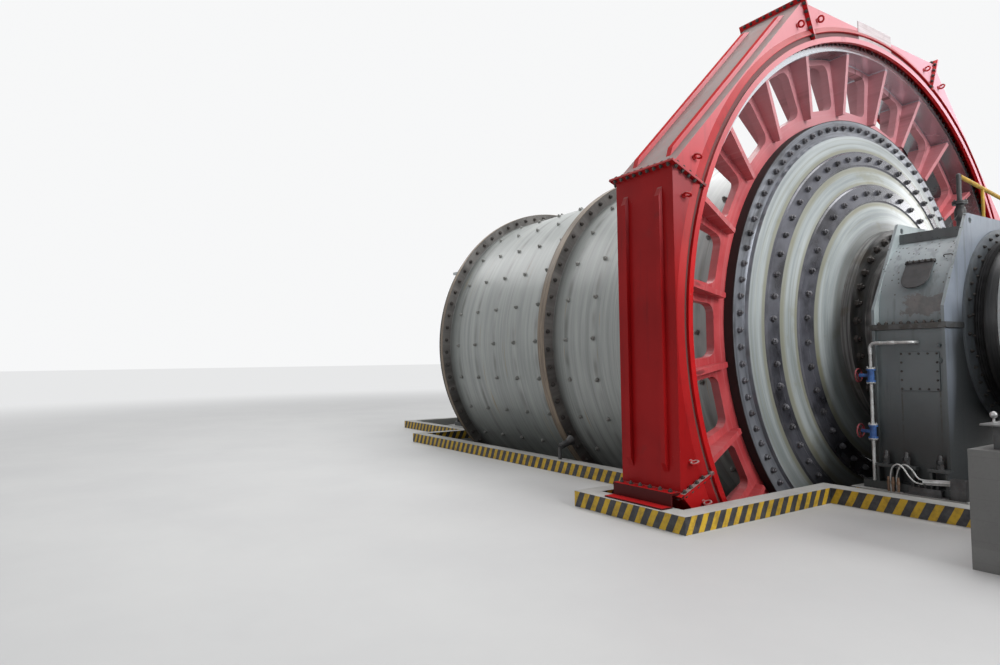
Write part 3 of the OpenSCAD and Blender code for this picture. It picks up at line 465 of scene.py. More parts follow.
def bare_plate():
    """Bare plate, brushed along and dulled by a thin uneven veil of dust."""
    f = Finish("bare plate")
    brushed = f.noise(1.0, 4.0, 0.6, f.stretched(40.0, 1.5, 60.0))
    veil = f.noise(4.0, 5.0, 0.65)
    f.ground(brushed.step(0.3, 0.7), (0.50, 0.44, 0.45), (0.70, 0.63, 0.64))
    f.over(veil.step(0.45, 0.7) * 0.5, (0.42, 0.33, 0.33))
    return f.paint(0.45 + 0.2 * veil, 0.15, 0.0, brushed, 0.0006, 0.3)


# pale tone, deep tone, metallic, roughness, scale of the clouds, rust
COATS = {
    "galvanised_pipe": ((0.52, 0.53, 0.53), (0.33, 0.33, 0.32), 0.6, 0.42, 9.0, 0.15),
    "valve_paint": ((0.035, 0.125, 0.36), (0.02, 0.06, 0.19), 0.0, 0.40, 14.0, 0.1),
    "handwheel_paint": ((0.27, 0.030, 0.040), (0.12, 0.015, 0.02), 0.0, 0.42, 14.0, 0.2),
    "rail_paint": ((0.60, 0.36, 0.02), (0.38, 0.22, 0.02), 0.0, 0.42, 8.0, 0.1),
    "dark_fittings": ((0.065, 0.066, 0.068), (0.022, 0.022, 0.023), 0.35, 0.42, 7.0, 0.1),
    "shaft_steel": ((0.42, 0.42, 0.42), (0.22, 0.22, 0.22), 0.85, 0.30, 4.0, 0.0),
    "bolt_steel": ((0.085, 0.075, 0.068), (0.028, 0.026, 0.025), 0.4, 0.45, 11.0, 0.25),
    "liner_bolt_paint": ((0.27, 0.275, 0.262), (0.17, 0.172, 0.16), 0.0, 0.45, 9.0, 0.0),
    "head_bolt_grease": ((0.15, 0.15, 0.165), (0.055, 0.054, 0.058), 0.4, 0.38, 9.0, 0.1),
    "flap_paint": ((0.048, 0.048, 0.050), (0.030, 0.030, 0.031), 0.0, 0.55, 9.0, 0.05),
    "seal_rubber": ((0.045, 0.046, 0.048), (0.018, 0.018, 0.019), 0.0, 0.42, 10.0, 0.0),
    "rusty_pipe": ((0.22, 0.135, 0.085), (0.12, 0.075, 0.05), 0.2, 0.6, 14.0, 0.3),
    "lid_plate": ((0.20, 0.20, 0.20), (0.10, 0.10, 0.10), 0.3, 0.45, 5.0, 0.15),
}
FINISH = {name: metal_coat(name.replace("_", " "), *row) for name, row in COATS.items()}
FINISH |= {
    "guard_paint": guard_paint("guard paint"),
    "ridge_paint": guard_paint("guard ridge paint", None, 0.80, 0.25),
    "drum_paint": drum_paint(),
    "head_paint": head_paint(),
    "gear_paint": gear_paint(),
    "trunnion_steel": trunnion_steel(),
    "bearing_paint": bearing_paint(),
    "seal_ring_paint": machine_paint("seal ring paint", (0.125, 0.140, 0.155), (0.080, 0.090, 0.100)),
    "hood_paint": machine_paint("hood paint", (0.50, 0.53, 0.53), (0.36, 0.39, 0.40), 0.35),
    "frame_paint": machine_paint("frame paint", (0.26, 0.31, 0.33), (0.17, 0.21, 0.23), 0.4),
    "concrete": concrete(),
    "bare_plate": bare_plate(),
}

for part in frame["record"]["subparts"]:
    materials = nodes[part["node"]].data.materials
    materials.clear()
    materials.append(FINISH[part["material_slot"]])
GUARD_SIDES = ("top", "upper_near", "near", "lower_near", "bottom", "lower_far", "far", "upper_far")
for k, side in enumerate(GUARD_SIDES):
    # the near side gets a darker copy of the paint: painted shade
    depth = 0.56 if side == "near" else 1.0
    paint = guard_paint("guard " + side.replace("_", " ") + " paint", math.radians(45 * k), depth)
    nodes["guard_" + side].data.materials[0] = paint
for end in ("discharge", "feed"):
    nodes[end + "_seal_ring"].data.materials[0] = FINISH["seal_ring_paint"]


# Mesh core
def strips(k, n, closed=False):
    """Quads between k rings of n points; ring i joins ring i + 1, and the last one the first if closed."""
    i, j = np.meshgrid(np.arange(k if closed else k - 1), np.arange(n), indexing="ij")
    after, beside = (i + 1) % k, (j + 1) % n
    return np.stack([i * n + j, i * n + beside, after * n + beside, after * n + j], -1).reshape(-1, 4)


def loft(rings, closed=False):
    """A skin over rings of shape (k, n, 3), with a flat face on the first and last ring unless closed."""
    rings = np.asarray(rings, float)
    k, n, _ = rings.shape
    faces = [strips(k, n, closed)]
    if not closed:
        faces += [np.arange(n)[::-1].reshape(1, n), ((k - 1) * n + np.arange(n)).reshape(1, n)]
    return rings.reshape(-1, 3), faces


def copies(form, centres, frames):
    """The form set at each centre: point = centre + x u + y v + z w, with u, v, w the rows of its frame."""
    points, faces = form
    centres, frames = np.atleast_2d(centres), np.asarray(frames, float)
    placed = np.einsum("pk,mkc->mpc", points, frames) + centres[:, None, :]
    shift = (np.arange(len(centres)) * len(points))[:, None, None]
    return placed.reshape(-1, 3), [(f[None] + shift).reshape(-1, f.shape[1]) for f in faces]


def upright(form, places):
    """The form set at each place with its own axis straight up."""
    places = np.atleast_2d(places)
    return copies(form, places, np.repeat(facing((0, 0, 1.0)), len(places), 0))


def joined(*forms):
    """Several forms as one: points stacked, faces shifted past the points before them."""
    points, faces, count = [], [], 0
    for p, fs in forms:
        points.append(p)
        faces += [f + count for f in fs]
        count += len(p)
    return np.concatenate(points), faces


def piece(name, form, slot, finish=None, body="base", smooth=32.0):
    """Writes a form to a mesh object, turns its faces outwards, smooths soft edges and ties it to a body."""
    points, faces = form
    mesh = bpy.data.meshes.new(name)
    sizes = np.concatenate([np.full(len(f), f.shape[1]) for f in faces])
    corners = np.concatenate([f.ravel() for f in faces])
    mesh.vertices.add(len(points))
    mesh.vertices.foreach_set("co", np.ascontiguousarray(points, np.float32).ravel())
    mesh.loops.add(len(corners))
    mesh.loops.foreach_set("vertex_index", corners.astype(np.int32))
    mesh.polygons.add(len(sizes))
    mesh.polygons.foreach_set("loop_start", (np.cumsum(sizes) - sizes).astype(np.int32))
    mesh.update(calc_edges=True)
    mesh.validate()
    work = bmesh.new()
    work.from_mesh(mesh)
    bmesh.ops.recalc_face_normals(work, faces=work.faces)
    work.to_mesh(mesh)
    work.free()
    mesh.set_sharp_from_angle(angle=math.radians(smooth))
    mesh.materials.append(FINISH[finish or slot])
    thing = bpy.data.objects.new(name, mesh)
    bpy.context.scene.collection.objects.link(thing)
    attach(thing, body)
    return thing


def facing(normals, up=(0.0, 0.0, 1.0)):
    """Frames whose w runs along each normal; u is square to it and to up, v completes them."""
    w = np.atleast_2d(np.asarray(normals, float))
    w = w / np.linalg.norm(w, axis=1, keepdims=True)
    u = np.cross(np.broadcast_to(up, w.shape), w)
    flat = np.linalg.norm(u, axis=1) < 1e-6
    u[flat] = (1.0, 0.0, 0.0)
    u /= np.linalg.norm(u, axis=1, keepdims=True)
    return np.stack([u, np.cross(w, u), w], 1)


def turned(frames, angles):
    """Each frame turned about its own w: u' = u cos a + v sin a, v' = v cos a - u sin a."""
    c, s = np.cos(angles)[:, None], np.sin(angles)[:, None]
    u, v, w = frames[:, 0], frames[:, 1], frames[:, 2]
    return np.stack([u * c + v * s, v * c - u * s, w], 1)


def circle(n, phase=0.0):
    """n points of the unit circle."""
    a = math.tau * (np.arange(n) + phase) / n
    return np.stack([np.cos(a), np.sin(a)], -1)


def turned_form(profile, n, phase=0.0):
    """A form turned about its own Z: each profile entry (r, z) is a ring of n points."""
    ring = circle(n, phase)
    return loft([np.column_stack([ring * r, np.full(n, z)]) for r, z in profile])


def hex_bolt(r):
    """Washer, hexagonal nut with a worn top and the stud's end, for a bolt of radius r, standing on z = 0."""
    washer = turned_form([(1.95 * r, -0.2 * r), (1.95 * r, 0.25 * r)], 8)
    nut = turned_form([(1.7 * r, 0.2 * r), (1.7 * r, 1.5 * r), (1.4 * r, 1.75 * r)], 6)
    stud = turned_form([(0.95 * r, 1.6 * r), (0.95 * r, 2.5 * r), (0.6 * r, 2.8 * r)], 6)
    return joined(washer, nut, stud)


random = np.random.default_rng(5)


def bolts(name, places, normals, r, finish="bolt_steel", slot="dark_fittings", body="base"):
    """Bolts on a surface, each turned by its own angle."""
    places = np.atleast_2d(places)
    normals = np.broadcast_to(normals, places.shape)
    frames = turned(facing(normals, (0.31, 0.17, 0.93)), random.uniform(0, math.tau, len(places)))
    return piece(name, copies(hex_bolt(r), places, frames), slot, finish, body, 28.0)


def on_drum(x, r, angles):
    """Points at a station x and radius r; the angle runs from straight up towards -Y."""
    x, r, angles = np.broadcast_arrays(x, r, angles)
    return np.stack([x, -r * np.sin(angles), AXIS_Z + r * np.cos(angles)], -1)


def outwards(angles):
    """The radial direction at each angle."""
    return np.stack([np.zeros_like(angles), -np.sin(angles), np.cos(angles)], -1)


def fan(n, phase=0.5):
    """n even angles round the drum."""
    return math.tau * (np.arange(n) + phase) / n


def both_ends(places, normals):
    """Adds the mirrored places at the feed end: x becomes FEED_SHIFT - x and the normals turn with it."""
    normals = np.broadcast_to(normals, places.shape)
    flip = np.array([-1.0, 1.0, 1.0])
    mirrored = places * flip + (FEED_SHIFT, 0, 0)
    return np.concatenate([places, mirrored]), np.concatenate([normals, normals * flip])


def mirrored_form(form):
    """The form at the feed end."""
    points, faces = form
    return points * (-1.0, 1.0, 1.0) + (FEED_SHIFT, 0, 0), faces


def both_forms(form):
    """The form at the discharge end and its mirror image at the feed end."""
    return joined(form, mirrored_form(form))


def lathe(profile, n=144):
    """A closed ring about the drum axis: profile entries (x, r) are carried through a full turn."""
    angles = fan(n, 0.0)
    return loft(np.stack([on_drum(x, r, angles) for x, r in profile], 1), True)


def tube(path, r, sides=12):
    """A round bar along a path. Each ring stands square to the mean of the runs that meet at its point."""
    path = np.asarray(path, float)
    runs = np.diff(path, axis=0)
    runs /= np.linalg.norm(runs, axis=1, keepdims=True)
    along = np.concatenate([runs[:1], runs[1:] + runs[:-1], runs[-1:]])
    along /= np.linalg.norm(along, axis=1, keepdims=True)
    u = np.cross((0.123, 0.31, 0.94), along)
    u /= np.linalg.norm(u, axis=1, keepdims=True)
    v = np.cross(along, u)
    ring = circle(sides)
    r = np.broadcast_to(r, len(path))[:, None, None]
    return loft(path[:, None] + r * (ring[None, :, :1] * u[:, None] + ring[None, :, 1:] * v[:, None]))


def smooth_path(points, n=24):
    """A smooth curve through the points: Catmull-Rom cubic pieces, sampled n times in all."""
    p = np.asarray(points, float)
    p = np.concatenate([2 * p[:1] - p[1:2], p, 2 * p[-1:] - p[-2:-1]])
    t = np.linspace(0, len(p) - 3 - 1e-9, n)
    i = t.astype(int)
    f = (t - i)[:, None]
    a, b, c, d = p[i], p[i + 1], p[i + 2], p[i + 3]
    return 0.5 * (2 * b + (c - a) * f + (2 * a - 5 * b + 4 * c - d) * f**2 + (3 * b - a - 3 * c + d) * f**3)


def bent_path(corners, radius, n=9):
    """A path through corners, each inner one rounded by an arc of the radius between its two square runs."""
    corners = np.asarray(corners, float)
    path = [corners[:1]]
    for before, corner, after in zip(corners, corners[1:], corners[2:]):
        back, on = before - corner, after - corner
        back, on = back / np.linalg.norm(back), on / np.linalg.norm(on)
        a = np.linspace(0, math.pi / 2, n)[:, None]
        path.append(corner + radius * ((1 - np.sin(a)) * back + (1 - np.cos(a)) * on))
    return np.concatenate(path + [corners[-1:]])


def slab(outline, origin, u, v, thick, bevel=0.004):
    """A plate: the outline in the axes u, v at origin, raised by thick along u x v, its top edge bevelled."""
    outline = np.asarray(outline, float)
    origin, u, v = (np.asarray(q, float) for q in (origin, u, v))
    middle = outline.mean(0)
    reach = np.linalg.norm(outline - middle, axis=1, keepdims=True)
    inner = middle + (outline - middle) * (1 - bevel / reach)
    levels = ((outline, 0.0), (outline, thick - bevel), (inner, thick))
    return loft([origin + q[:, :1] * u + q[:, 1:] * v + height * np.cross(u, v) for q, height in levels])


def rectangle(a, b, corner=0.0, n=4):
    """A rectangle of sides a and b about the origin, with round corners."""
    if corner <= 0:
        return np.array([(-a, -b), (a, -b), (a, b), (-a, b)]) / 2
    q = np.linspace(0, math.pi / 2, n)
    arcs = []
    for k, (sx, sy) in enumerate(((1, 1), (-1, 1), (-1, -1), (1, -1))):
        turn = q + k * math.pi / 2
        middle = (sx * (a / 2 - corner), sy * (b / 2 - corner))
        arcs.append(middle + corner * np.stack([np.cos(turn), np.sin(turn)], -1))
    return np.concatenate(arcs)


def edge_places(a, b, n):
    """n points along each side of a rectangle of sides a and b."""
    q = rectangle(a, b)
    share = np.linspace(0, 1, n + 1)[:-1, None]
    return np.concatenate([q[i] + (q[(i + 1) % 4] - q[i]) * share for i in range(4)])


def bar(low, high, bevel=0.004):
    """A straight bar between two corners, its upper edges bevelled."""
    low, high = np.asarray(low, float), np.asarray(high, float)
    size, middle = high - low, (low + high) / 2
    foot = (middle[0], middle[1], low[2])
    return slab(rectangle(size[0], size[1]), foot, (1, 0, 0), (0, 1, 0), size[2], bevel)


# The drum
def ring_bolts(name, x, r, count, size, sign=1.0, body="drum", both=False, finish="bolt_steel"):
    """A circle of bolts in a plane across the axis, facing sign along X."""
    places = on_drum(x, r, fan(count))
    normals = np.broadcast_to((sign, 0.0, 0.0), places.shape)
    if both:
        places, normals = both_ends(places, normals)
    bolts(name, places, normals, size, finish, body=body)


def cone_bolts(name, r, count, size, raised=0.014):
    """Bolts standing square on the conical head at radius r, at both ends."""
    angles = fan(count)
    tilt = math.atan(CONE_SLOPE)
    normal = outwards(angles) * math.sin(tilt) + np.array([math.cos(tilt), 0, 0])
    places, normals = both_ends(on_drum(CONE_X + (CONE_R - r) * CONE_SLOPE + raised, r, angles), normal)
    bolts(name, places, normals, size, "head_bolt_grease", body="drum")


# Liner bolts: every column of both sections at every row's angle, standing on the shell
columns = BOLT_START + BOLT_PITCH * np.arange(BOLT_COLUMNS)
x, angle = (q.ravel() for q in np.meshgrid(np.concatenate([columns, -columns]), fan(BOLT_ROWS, 0.0)))
places = on_drum(x, SHELL_R - 0.001, angle)
bolts("liner_bolts", places, outwards(angle), 0.018, "liner_bolt_paint", "drum_paint", "drum")
for sign, label in ((1.0, "front"), (-1.0, "rear")):
    ring_bolts("middle_flange_bolts_" + label, sign * FLANGE_T, 2.668, 64, 0.018, sign)
for sign, label in ((1.0, "discharge"), (-1.0, "feed")):
    ring_bolts("shell_end_bolts_" + label, sign * (HALF_L - FLANGE_T), 2.655, 72, 0.018, -sign)
ring_bolts("head_flange_bolts", HEAD_FLANGE_X, 2.598, 90, 0.019, both=True, finish="head_bolt_grease")
cone_bolts("outer_band_bolts", 2.183, 56, 0.019)
cone_bolts("inner_band_bolts", 1.733, 40, 0.019)
ring_bolts("trunnion_flange_bolts", SEAT_X + 0.11, 1.145, 36, 0.027, both=True)


# The guard
def guard_flange_bolts():
    """Bolts through the paired mitre flanges at each of the eight corners: on top, in front and behind."""
    across = np.linspace(BACK_X + 0.02, FRONT_X - 0.02, 9)
    rise = np.linspace(GUARD_OPEN + 0.11, CORNER_R - 0.03, 5)
    rows = ((across, CORNER_R + 0.030), (FRONT_X + 0.030, rise), (BACK_X - 0.030, rise))
    places, normals = [], []
    for corner in range(8):
        angle = math.radians(22.5 + 45 * corner)
        tangent = np.array([0, -math.cos(angle), -math.sin(angle)])
        for sign in (1.0, -1.0):
            for x, r in rows:
                point = on_drum(x, r, angle) + tangent * sign * 0.012
                places.append(point)
                normals.append(np.broadcast_to(tangent * sign, point.shape))
    return np.concatenate(places), np.concatenate(normals)


bolts("guard_flange_bolts", *guard_flange_bolts(), 0.011)


def lifting_eye():
    """A ring of round bar on a short neck: a torus of radii 34 and 11 mm standing on a turned foot."""
    a, b = np.linspace(0, math.tau, 25)[:-1], np.linspace(0, math.tau, 11)[:-1]
    a, b = np.meshgrid(a, b, indexing="ij")
    r = 0.034 + 0.011 * np.cos(b)
    torus = np.stack([r * np.cos(a), r * np.sin(a) + 0.052, 0.011 * np.sin(b)], -1)
    points, faces = turned_form([(0.026, 0.0), (0.026, 0.012), (0.014, 0.018), (0.012, 0.03)], 14)
    return joined((torus.reshape(-1, 3), [strips(24, 10, True)]), (points[:, [0, 2, 1]], faces))


def lifting_eyes():
    """Two eyes beside each corner, on the front and on the rear face, standing off the face."""
    centres, frames = [], []
    for corner in range(8):
        for offset in (-3.2, 3.2):
            angle = math.radians(22.5 + 45 * corner + offset)
            n = outwards(np.array([angle]))[0]
            for x, sign in ((FRONT_X - 0.001, 1.0), (BACK_X + 0.001, -1.0)):
                centres.append(on_drum(x, 3.845, angle))
                w = np.array([sign, 0.0, 0.0])
                frames.append([n, w, np.cross(n, w)])
    return copies(lifting_eye(), np.array(centres), np.array(frames))


def lip_ridge(x, sign):
    """A ramp round the opening: it rises 32 mm from radius 3.765 to 3.702 and drops to a groove at 3.692."""
    profile = [
        (-0.002, 3.765), (0.030, 3.706), (0.032, 3.702), (0.032, 3.698), (0.028, 3.694), (-0.002, 3.692)
    ]
    return lathe([(x + sign * rise, r) for rise, r in profile], 240)


piece("guard_lifting_eyes", lifting_eyes(), "guard_paint", "ridge_paint")
piece("guard_ridge_front", lip_ridge(FRONT_X, 1.0), "guard_paint", "ridge_paint")
piece("guard_ridge_rear", lip_ridge(BACK_X, -1.0), "guard_paint", "ridge_paint")

# The bearings: near side, shoulder of the cover, split flange, sole plate and pier
SIDE_Y = -1.39
SHOULDER_Y, SHOULDER_Z, SHOULDER_R = -0.333, AXIS_Z + 0.067, 1.0
SPLIT_Z = AXIS_Z + 0.027
SOLE_Z = FLOOR_Z + 0.25
PIER_Z = FLOOR_Z + 0.17


def on_shoulder(x, angle, rise=0.0):
    """A point over the near shoulder of the cover: the angle runs up from level, rise is off the surface."""
    r = SHOULDER_R + rise
    return np.array([x, SHOULDER_Y - r * math.cos(angle), SHOULDER_Z + r * math.sin(angle)])


def access_panel():
    """A flat panel on the near side of the lower housing, and the places of the sixteen bolts round it."""
    x, z, thick = MIDDLE_X + 0.09, AXIS_Z - 0.457, 0.014
    panel = slab(rectangle(0.376, 0.396, 0.02), (x, SIDE_Y, z), (1, 0, 0), (0, 0, 1), thick)
    edge = edge_places(0.335, 0.355, 4)
    return panel, np.stack([x + edge[:, 0], np.full(16, SIDE_Y - thick), z + edge[:, 1]], -1)


def oil_flap():
    """A flap hinged at 36 degrees on the shoulder: a flat plate with a half round foot, off the curve."""
    hinge = math.radians(36)
    origin = on_shoulder(MIDDLE_X + 0.025, hinge, 0.008)
    down = np.array([0.0, -math.sin(hinge), -math.cos(hinge)])
    out = np.array([0.0, -math.cos(hinge), math.sin(hinge)])
    a = np.linspace(math.pi, 0, 17)
    foot = np.stack([0.135 * np.cos(a), 0.20 + 0.135 * np.sin(a)], -1)
    outline = np.concatenate([[[-0.135, 0.0]], foot, [[0.135, 0.0]]])
    flap = slab(outline, origin, (-1, 0, 0), down, 0.012, 0.003)
    rail = slab(rectangle(0.29, 0.03), origin - 0.012 * down - 0.012 * out, (-1, 0, 0), down, 0.034, 0.003)
    across = np.linspace(-0.115, 0.115, 5)[:, None] * np.array([1.0, 0.0, 0.0])
    return joined(flap, rail), origin - 0.012 * down + 0.022 * out + across, out


def cover_handle():
    """A handle of round bar on the shoulder beside the outboard plate: two legs and a level grip."""
    x0, x1 = MIDDLE_X + 0.235, MIDDLE_X + 0.315
    rise = [(-0.004, x0), (0.020, x0), (0.030, x0 + 0.010), (0.030, x1 - 0.010), (0.020, x1), (-0.004, x1)]
    return tube([on_shoulder(x, math.radians(39.5), r) for r, x in rise], 0.006, 10)


panel, panel_bolts = access_panel()
flap, flap_bolts, flap_out = oil_flap()
piece("bearing_access_panels", both_forms(panel), "bearing_paint")
piece("bearing_oil_flaps", both_forms(flap), "bearing_paint", "flap_paint")
piece("bearing_cover_handles", both_forms(cover_handle()), "dark_fittings")
bolts("access_panel_bolts", *both_ends(panel_bolts, (0.0, -1.0, 0.0)), 0.006)
plugs = np.array([(MIDDLE_X + 0.275, SIDE_Y, AXIS_Z - 0.20), (MIDDLE_X + 0.285, SIDE_Y, AXIS_Z - 0.35)])
bolts("base_plugs", *both_ends(plugs, (0.0, -1.0, 0.0)), 0.013, "bearing_paint", "bearing_paint")
bolts("oil_flap_bolts", *both_ends(flap_bolts, flap_out), 0.007)

# Bolts up through the split flange along both long sides of a housing, and round the seal ring
x, y = np.meshgrid(np.linspace(HOUSING_IN + 0.055, HOUSING_OUT - 0.055, 9), [-SIDE_Y, SIDE_Y])
split = np.stack([x.ravel(), y.ravel(), np.full(x.size, SPLIT_Z)], -1)
bolts("split_flange_bolts", *both_ends(split, (0.0, 0.0, 1.0)), 0.011)
ring_bolts("seal_ring_outer_bolts", HOUSING_OUT + 0.0365, 1.005, 36, 0.010, 1.0, "base", True)
ring_bolts("seal_ring_inner_bolts", HOUSING_OUT + 0.049, 0.945, 28, 0.008, 1.0, "base", True)


def cover_seal():
    """A rubber lip of three rounds between seal ring and neck: radius 0.928 + 0.012 cos of the way along."""
    a = np.linspace(0, 3 * math.tau, 37)
    x = HOUSING_OUT + 0.054 + 0.022 * a / math.tau
    outer = list(zip(x, 0.928 + 0.012 * np.cos(a)))
    return lathe(outer + [(x[-1], 0.896), (x[0], 0.896)], 120)


piece("discharge_seal_lip", cover_seal(), "dark_fittings", "seal_rubber")
piece("feed_seal_lip", mirrored_form(cover_seal()), "dark_fittings", "seal_rubber")


def anchor_chair(x, y):
    """Two cheeks and a cap plate standing on the sole plate beside the housing."""
    z = SOLE_Z
    cheeks = [bar((x + s - 0.012, y - 0.038, z), (x + s + 0.012, y + 0.038, z + 0.15)) for s in (-0.07, 0.07)]
    return joined(*cheeks, bar((x - 0.10, y - 0.040, z + 0.15), (x + 0.10, y + 0.040, z + 0.182)))


def anchor_nuts(places):
    """Washer, two large hexagonal nuts and the stud's end on each chair."""
    washer = turned_form([(0.036, 0.0), (0.036, 0.008), (0.034, 0.010)], 18)
    nut = turned_form([(0.034, 0.010), (0.034, 0.044), (0.029, 0.048)], 6)
    upper = turned_form([(0.034, 0.052), (0.034, 0.080), (0.029, 0.086)], 6, 0.4)
    stud = turned_form([(0.020, 0.0), (0.020, 0.125), (0.014, 0.135)], 12)
    return upright(joined(washer, nut, upper, stud), places)


chairs = [(x, side * 1.47) for x in (4.24, 4.435, 4.745) for side in (-1, 1)]
piece("bearing_anchor_chairs", both_forms(joined(*[anchor_chair(x, y) for x, y in chairs])), "bearing_paint")
places = np.array([(x, y, SOLE_Z + 0.182) for x, y in chairs])
piece("bearing_anchor_nuts", both_forms(anchor_nuts(places)), "dark_fittings")


def oil_lines():
    """Two thin pipes that loop over beside the housing and run beside a thick pipe to a block on the pier."""
    y = -1.548
    first = [
        (4.318, 0.16), (4.312, 0.30), (4.330, 0.40), (4.380, 0.447), (4.435, 0.42), (4.495, 0.335),
        (4.555, 0.288), (4.64, 0.284), (4.90, 0.305)
    ]
    second = [
        (4.368, 0.16), (4.362, 0.31), (4.400, 0.425), (4.455, 0.446), (4.510, 0.405), (4.560, 0.335),
        (4.610, 0.318), (4.68, 0.322), (4.90, 0.340)
    ]
    thick = [(4.62, y - 0.004, FLOOR_Z + 0.300), (4.64, y, FLOOR_Z + 0.302), (4.90, y, FLOOR_Z + 0.325)]
    thin = [
        tube(smooth_path([(x, y + 0.02 * k, FLOOR_Z + z) for x, z in path], 56), 0.0085)
        for k, path in enumerate((first, second))
    ]
    return joined(*thin, tube(thick, 0.018, 16))


def riser_pipes():
    """Three short upright pipes with unions that stand on the pier beside the loops."""
    form = turned_form([
        (0.012, -0.02), (0.012, 0.07), (0.017, 0.072), (0.017, 0.10), (0.012, 0.102), (0.012, 0.14),
        (0.008, 0.145)
    ], 14)
    return upright(form, np.array([(x, -1.560, PIER_Z) for x in (4.298, 4.343, 4.393)]))


def rise_pipe():
    """The rise pipe with its two round bends and three sockets; it stands where the source has it."""
    low, high = span("oil_pipe")
    r = 0.017
    x0, x1, y, top = low[0] + r, high[0] - r, low[1] + r, high[2] - r
    corners = [(x0, y, low[2]), (x0, y, top), (x1, y, top), (x1, high[1], top)]
    sockets = (
        ((x0, y, top - 0.12), (x0, y, top - 0.045)),
        ((x0 + 0.045, y, top), (x0 + 0.11, y, top)),
        ((x0 + 0.17, y, top), (x0 + 0.25, y, top)),
    )
    forms = [tube(bent_path(corners, 0.045), r, 20)]
    for start, end in np.array(sockets):
        path = start + (end - start) * np.array([0.0, 0.06, 0.94, 1.0])[:, None]
        forms.append(tube(path, (0.0175, 0.0205, 0.0205, 0.0175), 20))
    return joined(*forms), (x0, y)


def valve_flanges(x, y):
    """A counter flange against each end of both valves, with four bolts through each pair."""
    low, high = span("oil_valves")
    half, thick = 0.068, 0.012
    flange = turned_form([
        (0.0175, 0.0), (0.045, 0.0), (0.045, 0.010), (0.043, thick), (0.024, thick), (0.0175, 0.022)
    ], 28)
    ring = circle(4, 0.5) * 0.034
    forms = []
    for z in (low[2] + half, high[2] - half):
        for sign in (1.0, -1.0):
            up = facing((0, 0, sign))
            forms.append(copies(flange, (x, y, z + sign * half), up))
            places = np.column_stack([x + ring[:, 0], y + ring[:, 1], np.full(4, z + sign * (half + thick))])
            forms.append(copies(hex_bolt(0.0045), places, np.repeat(up, 4, 0)))
    return joined(*forms)


piece("oil_lines", oil_lines(), "galvanised_pipe")
piece("riser_pipes", riser_pipes(), "galvanised_pipe", "rusty_pipe")
rise, foot = rise_pipe()
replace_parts(piece("rise_pipe", rise, "galvanised_pipe"), "oil_pipe")
piece("valve_counter_flanges", valve_flanges(*foot), "galvanised_pipe")


def oil_manifold():
    """A low valve block on the pier: a row of capped unions, a drip tray under it and a block at its end."""
    x, y = 4.64, -1.546
    tray = slab(rectangle(0.42, 0.055, 0.01), (x + 0.01, y, PIER_Z), (1, 0, 0), (0, 1, 0), 0.012)
    body = slab(rectangle(0.30, 0.045, 0.01), (x, y, PIER_Z + 0.012), (1, 0, 0), (0, 1, 0), 0.065, 0.006)
    union = turned_form([(0.013, 0.0), (0.013, 0.02), (0.017, 0.022), (0.017, 0.035), (0.011, 0.04)], 10)
    places = np.stack([np.linspace(x - 0.11, x + 0.11, 5), np.full(5, y), np.full(5, PIER_Z + 0.075)], -1)
    end = bar((4.87, -1.575, PIER_Z), (5.00, -1.50, FLOOR_Z + 0.37), 0.008)
    return joined(tray, body, end, upright(union, places))


piece("oil_manifold", oil_manifold(), "dark_fittings")


def vent_parts():
    """The vent's valve bulb with studs on its flange, the light strainer beside it, and its hand lever."""
    low, high = span("cover_vent")
    x, y, foot = (low[0] + high[0]) / 2, (low[1] + high[1]) / 2, low[2]
    bulb = turned_form([
        (0.039, 0.13), (0.050, 0.15), (0.057, 0.18), (0.057, 0.24), (0.050, 0.27), (0.039, 0.29)
    ], 24)
    ring = circle(6) * 0.058
    heads = np.column_stack([x + ring[:, 0], y + ring[:, 1], np.full(6, foot + 0.351)])
    body = joined(upright(bulb, (x, y, foot)), upright(hex_bolt(0.007), heads))
    strainer = turned_form([
        (0.016, 0.12), (0.024, 0.13), (0.024, 0.19), (0.018, 0.20), (0.018, 0.29), (0.014, 0.30)
    ], 16)
    arm = tube([(x, y + 0.03, foot + 0.16), (x, y + 0.085, foot + 0.16)], 0.012, 10)
    bend = ((0.05, 0.21), (0.10, 0.165), (0.19, 0.11), (0.285, 0.045))
    lever = tube(smooth_path([(x, y - away, foot + rise) for away, rise in bend], 12), 0.004, 8)
    return body, joined(upright(strainer, (x, y + 0.085, foot)), arm), lever


body, side, lever = vent_parts()
piece("vent_valve", body, "dark_fittings")
piece("vent_strainer", side, "galvanised_pipe")
piece("vent_lever", lever, "dark_fittings")

# Bolts along the top of the shelf at the foot of the near and the far side of the guard
x, y = (q.ravel() for q in np.meshgrid(np.linspace(BACK_X + 0.06, FRONT_X - 0.06, 6), [-3.845, 3.845]))
feet = np.stack([x, y, np.full(12, AXIS_Z - CORNER_H + 0.026)], -1)
bolts("guard_foot_bolts", feet, (0.0, 0.0, 1.0), 0.012)


def sensor_horn():
    """The flared mouth of the listening sensor, turned about its axis, which leans 70 degrees."""
    low, high = span("sound_sensor")
    lean = math.radians(70)
    foot = np.array([(low[0] + high[0]) / 2, low[1] + 0.045 * math.cos(lean), low[2] + 0.17])
    form = turned_form([
        (0.044, 0.150), (0.050, 0.165), (0.060, 0.200), (0.074, 0.225), (0.076, 0.235), (0.070, 0.236),
        (0.050, 0.20)
    ], 32)
    return copies(form, foot, facing((0.0, math.sin(lean), math.cos(lean))))


piece("sensor_horn", sensor_horn(), "dark_fittings")

